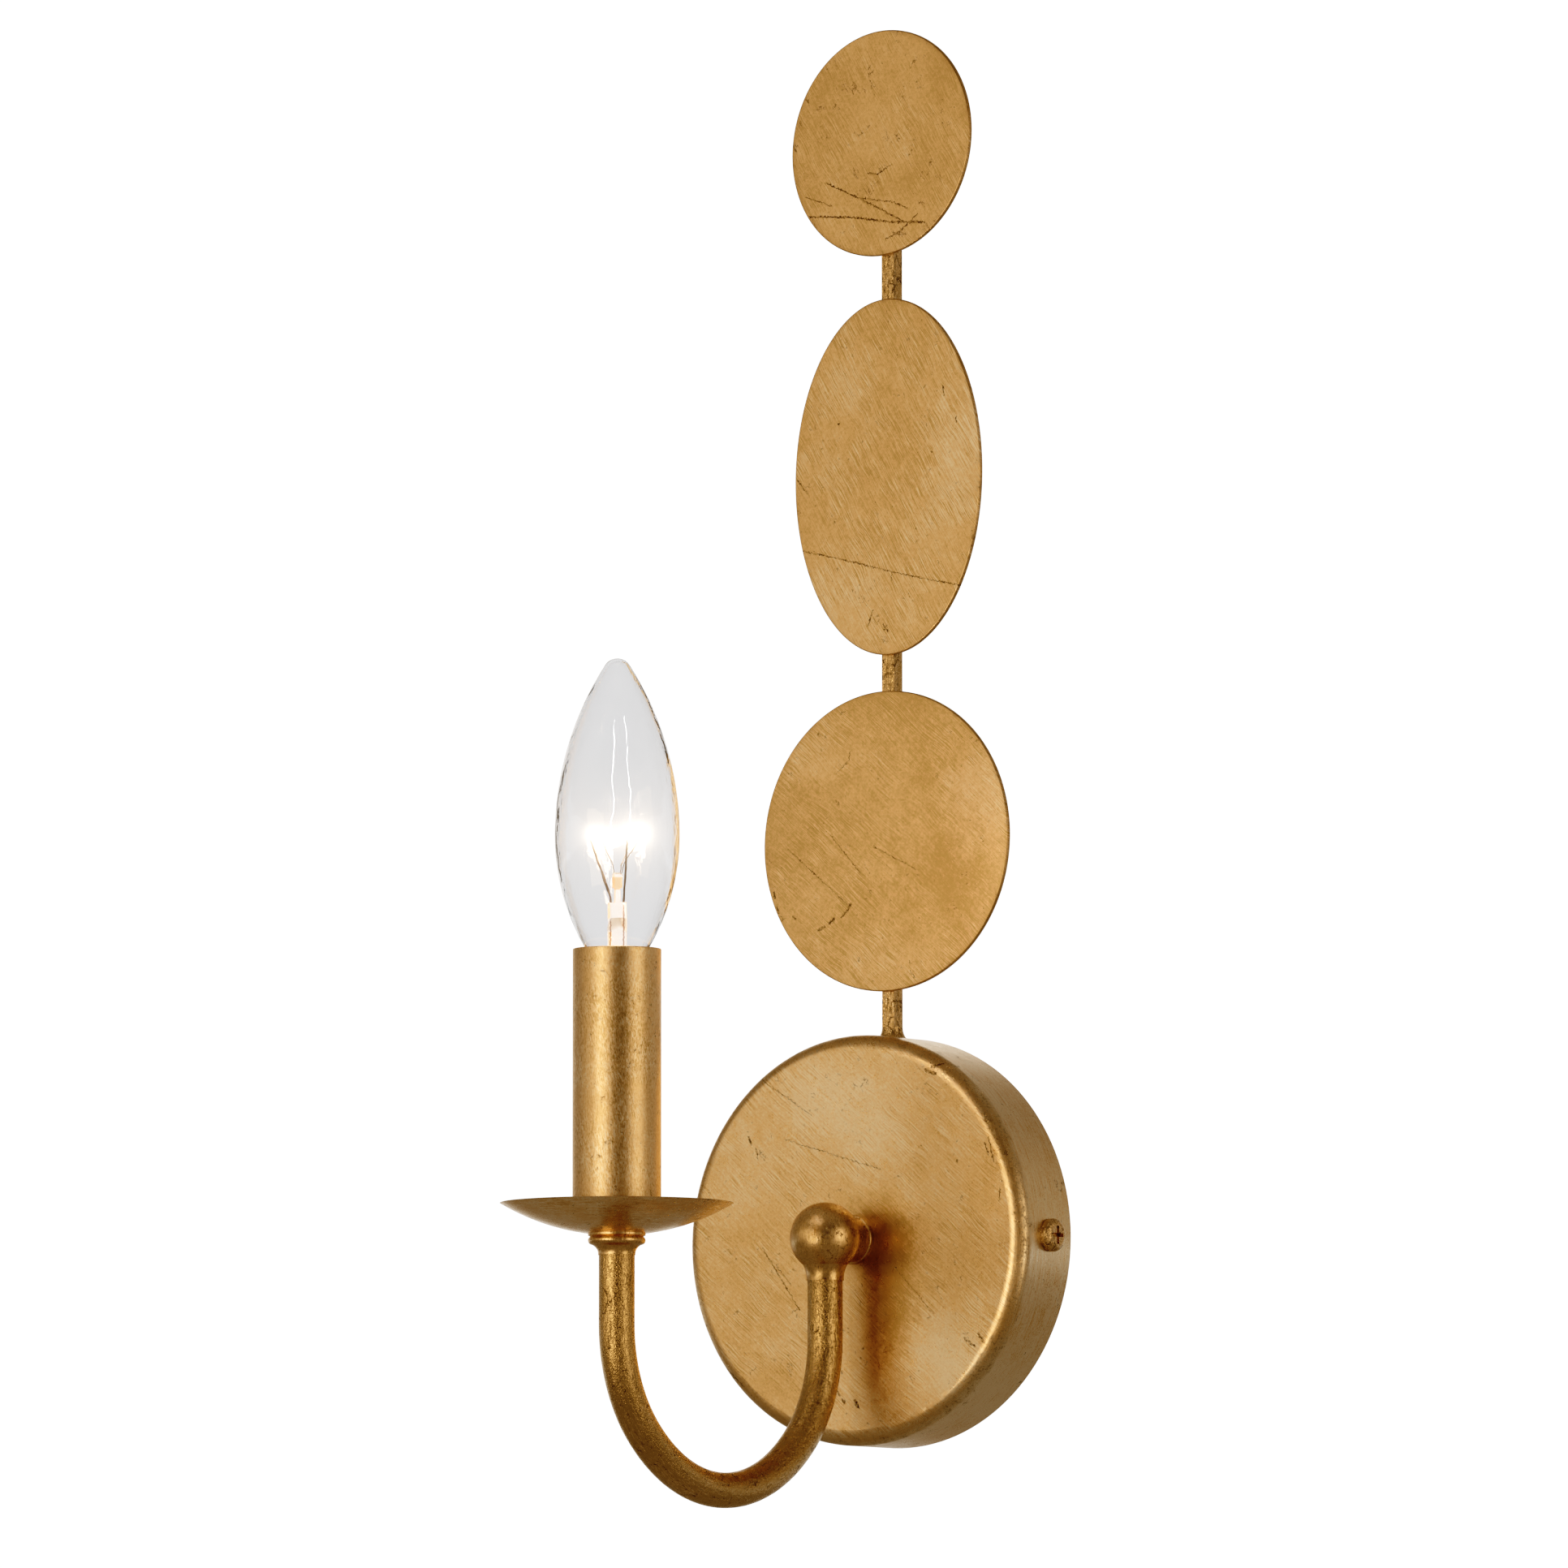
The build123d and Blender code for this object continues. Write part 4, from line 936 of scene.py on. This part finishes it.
def soft_box(name, azimuth, elevation, distance, width, height, radiance, colour=(1.0, 1.0, 1.0)):
    """A rectangular area light that faces the object. Radiance is what the metal sees reflected in it."""
    data = bpy.data.lights.new(name, "AREA")
    data.shape = "RECTANGLE"
    data.size = width
    data.size_y = height
    data.energy = radiance * math.pi * width * height
    data.color = colour
    light = bpy.data.objects.new(name, data)
    bpy.context.scene.collection.objects.link(light)
    place_facing(light, centre + distance * direction(azimuth, elevation), centre)
    light.visible_camera = False
    light.visible_transmission = False
    return light


WARM = (1.0, 0.78, 0.55)
LIGHT_DISTANCE = 2.2
soft_box("key_light", CAMERA_AZIMUTH - 39, -5, LIGHT_DISTANCE, 1.2, 1.3, 2.35, WARM)
soft_box("side_light", CAMERA_AZIMUTH + 53, 0, LIGHT_DISTANCE, 1.25, 1.5, 1.33, WARM)
strips = [
    soft_box("strip_right", CAMERA_AZIMUTH + 24, 18, LIGHT_DISTANCE, 0.045, 2.4, 40.0),
    soft_box("strip_middle", CAMERA_AZIMUTH - 9, 16, LIGHT_DISTANCE, 0.05, 2.3, 60.0),
]

lamp_light = bpy.data.lights.new("lamp_light", "POINT")
lamp_light.color = (1.0, 0.66, 0.38)
lamp_light.energy = 0.07
lamp_light.shadow_soft_size = 0.007
lamp_object = bpy.data.objects.new("lamp_light", lamp_light)
bpy.context.scene.collection.objects.link(lamp_object)
lamp_object.location = box_centre("lamp_filament")
lamp_object.visible_camera = False
lamp_object.visible_transmission = False

# Only the bulb sees the narrow strips, which draw the thin upright highlights in its glass.
bulb_only = bpy.data.collections.new("bulb_only")
bulb_only.objects.link(NODES["lamp_bulb"])
for strip in strips:
    strip.light_linking.receiver_collection = bulb_only

lamp_parts = bpy.data.collections.new("lamp_parts")
for name in ("lamp_leads", "lamp_anchors", "lamp_stem", "lamp_bulb"):
    lamp_parts.objects.link(NODES[name])
for item in lamp_parts.collection_objects:
    item.light_linking.link_state = "EXCLUDE"
lamp_object.light_linking.receiver_collection = lamp_parts


# Brightness of the white backdrop, seen directly and through glass, and of the dim studio round it.
BACKDROP = 1.35
THROUGH_GLASS = 0.88
STUDIO_LEVEL = 0.24
# Soft lobes of the studio: azimuth from the camera's, elevation, outer and inner angle, and strength.
STUDIO_LOBES = (
    (0, 0, 75, 20, -0.155),
    (-71, 2, 33, 8, 0.49),
    (114, 0, 40, 10, 0.10),
)


def studio_world():
    """White behind the object, dim round the studio, with a soft glow at the left and behind."""
    world = bpy.data.worlds.new("studio")
    bpy.context.scene.world = world
    world.use_nodes = True
    tree = world.node_tree
    tree.nodes.clear()

    def add(kind, **settings):
        made = tree.nodes.new("ShaderNode" + kind)
        for key, value in settings.items():
            setattr(made, key, value)
        return made

    ray = add("TexCoord").outputs["Generated"]

    def glow(towards, wide, narrow, strength):
        facing = add("VectorMath", operation="DOT_PRODUCT")
        tree.links.new(ray, facing.inputs[0])
        facing.inputs[1].default_value = towards
        lobe = add("MapRange", interpolation_type="SMOOTHSTEP", clamp=True)
        tree.links.new(facing.outputs["Value"], lobe.inputs["Value"])
        lobe.inputs["From Min"].default_value = math.cos(math.radians(wide))
        lobe.inputs["From Max"].default_value = math.cos(math.radians(narrow))
        lobe.inputs["To Max"].default_value = strength
        return lobe.outputs[0]

    def total(a, b):
        made = add("Math", operation="ADD")
        for socket, value in zip(made.inputs, (a, b)):
            if isinstance(value, bpy.types.NodeSocket):
                tree.links.new(value, socket)
            else:
                socket.default_value = value
        return made.outputs[0]

    level = STUDIO_LEVEL
    for turn, elevation, wide, narrow, strength in STUDIO_LOBES:
        level = total(level, glow(direction(CAMERA_AZIMUTH + turn, elevation), wide, narrow, strength))
    behind = glow(-direction(CAMERA_AZIMUTH, 0), 42, 12, 0.85)
    level = total(level, behind)
    shade = add("Mix", data_type="RGBA", clamp_factor=True)
    tree.links.new(behind, shade.inputs[0])
    shade.inputs[6].default_value = (*WARM, 1.0)
    shade.inputs[7].default_value = (1.0, 1.0, 1.0, 1.0)

    path = add("LightPath")
    studio, through_glass, backdrop = (add("Background") for _ in range(3))
    for white_light in (through_glass, backdrop):
        white_light.inputs["Color"].default_value = (1.0, 1.0, 1.0, 1.0)
    tree.links.new(shade.outputs[2], studio.inputs["Color"])
    tree.links.new(level, studio.inputs["Strength"])
    through_glass.inputs["Strength"].default_value = THROUGH_GLASS
    backdrop.inputs["Strength"].default_value = BACKDROP
    seen_through = add("MixShader")
    tree.links.new(path.outputs["Transmission Depth"], seen_through.inputs[0])
    tree.links.new(studio.outputs[0], seen_through.inputs[1])
    tree.links.new(through_glass.outputs[0], seen_through.inputs[2])
    seen = add("MixShader")
    tree.links.new(path.outputs["Is Camera Ray"], seen.inputs[0])
    tree.links.new(seen_through.outputs[0], seen.inputs[1])
    tree.links.new(backdrop.outputs[0], seen.inputs[2])
    output = add("OutputWorld")
    tree.links.new(seen.outputs[0], output.inputs[0])


studio_world()


FLOOR_HALF_SIZE = 60.0
FLOOR_DROP = 1.45


def studio_floor():
    """A wide pale floor, as far below the light as a real one. It lights the metal softly."""
    mesh = bpy.data.meshes.new("floor")
    work = bmesh.new()
    bmesh.ops.create_grid(work, x_segments=1, y_segments=1, size=FLOOR_HALF_SIZE)
    work.to_mesh(mesh)
    work.free()
    floor = bpy.data.objects.new("floor", mesh)
    bpy.context.scene.collection.objects.link(floor)
    floor.location.z = cad_low.z - FLOOR_DROP
    g = Graph("floor")
    grain = g.noise(g.node("TexCoord").outputs["Object"], scale=3.0, detail=4)
    shade = g.mix(grain, (0.96, 0.96, 0.95), (1.0, 1.0, 0.99))
    warm_shade = g.mix(1.0, shade, WARM, "MULTIPLY")
    towards_back = tuple(-direction(CAMERA_AZIMUTH, 0))
    place = g.node("TexCoord").outputs["Object"]
    back = g.node("VectorMath", {0: place, 1: towards_back}, operation="DOT_PRODUCT")
    far = g.step(back.outputs["Value"], 3.0, 12.0)
    floor_colour = g.mix(far, warm_shade, shade)
    reflected = g.node("Emission", {"Color": floor_colour, "Strength": g.spread(far, 0.22, 0.9)})
    seen = g.node("Emission", {"Color": shade, "Strength": BACKDROP})
    mixed = g.node("MixShader", {0: g.node("LightPath").outputs["Is Camera Ray"]})
    g.tree.links.new(reflected.outputs[0], mixed.inputs[1])
    g.tree.links.new(seen.outputs[0], mixed.inputs[2])
    output = g.node("OutputMaterial")
    g.tree.links.new(mixed.outputs[0], output.inputs[0])
    mesh.materials.append(g.material)


studio_floor()

# The photograph's tone curve: scene brightness against shown brightness, white from 1.3 upwards.
TONE_CURVE = (
    (0.0, 0.0),
    (0.04, 0.009),
    (0.08, 0.045),
    (0.15, 0.125),
    (0.25, 0.245),
    (0.40, 0.41),
    (0.60, 0.60),
    (0.80, 0.75),
    (1.05, 0.895),
    (1.30, 1.0),
)
view = bpy.context.scene.view_settings
view.view_transform = "Standard"
view.look = "None"
view.use_curve_mapping = True
mapping = view.curve_mapping
white = TONE_CURVE[-1][0]
mapping.white_level = (white, white, white)
points = mapping.curves[3].points
for scene_level, shown_level in TONE_CURVE[1:-1]:
    points.new(scene_level / white, shown_level)
for point in points:
    point.handle_type = "AUTO_CLAMPED"
mapping.update()


def lamp_bloom():
    """The soft bloom that a bright filament leaves in a lens. Only the filament is bright enough for it."""
    scene = bpy.context.scene
    scene.use_nodes = True
    tree = scene.node_tree
    tree.nodes.clear()
    picture = tree.nodes.new("CompositorNodeRLayers")
    bloom = tree.nodes.new("CompositorNodeGlare")
    bloom.glare_type = "BLOOM"
    bloom.inputs["Threshold"].default_value = 3.0
    bloom.inputs["Strength"].default_value = 1.0
    bloom.inputs["Size"].default_value = 0.45
    together = tree.nodes.new("CompositorNodeMixRGB")
    together.blend_type = "ADD"
    together.inputs[0].default_value = 2.3
    result = tree.nodes.new("CompositorNodeComposite")
    tree.links.new(picture.outputs["Image"], bloom.inputs["Image"])
    tree.links.new(picture.outputs["Image"], together.inputs[1])
    tree.links.new(bloom.outputs["Glare"], together.inputs[2])
    tree.links.new(together.outputs[0], result.inputs["Image"])


lamp_bloom()
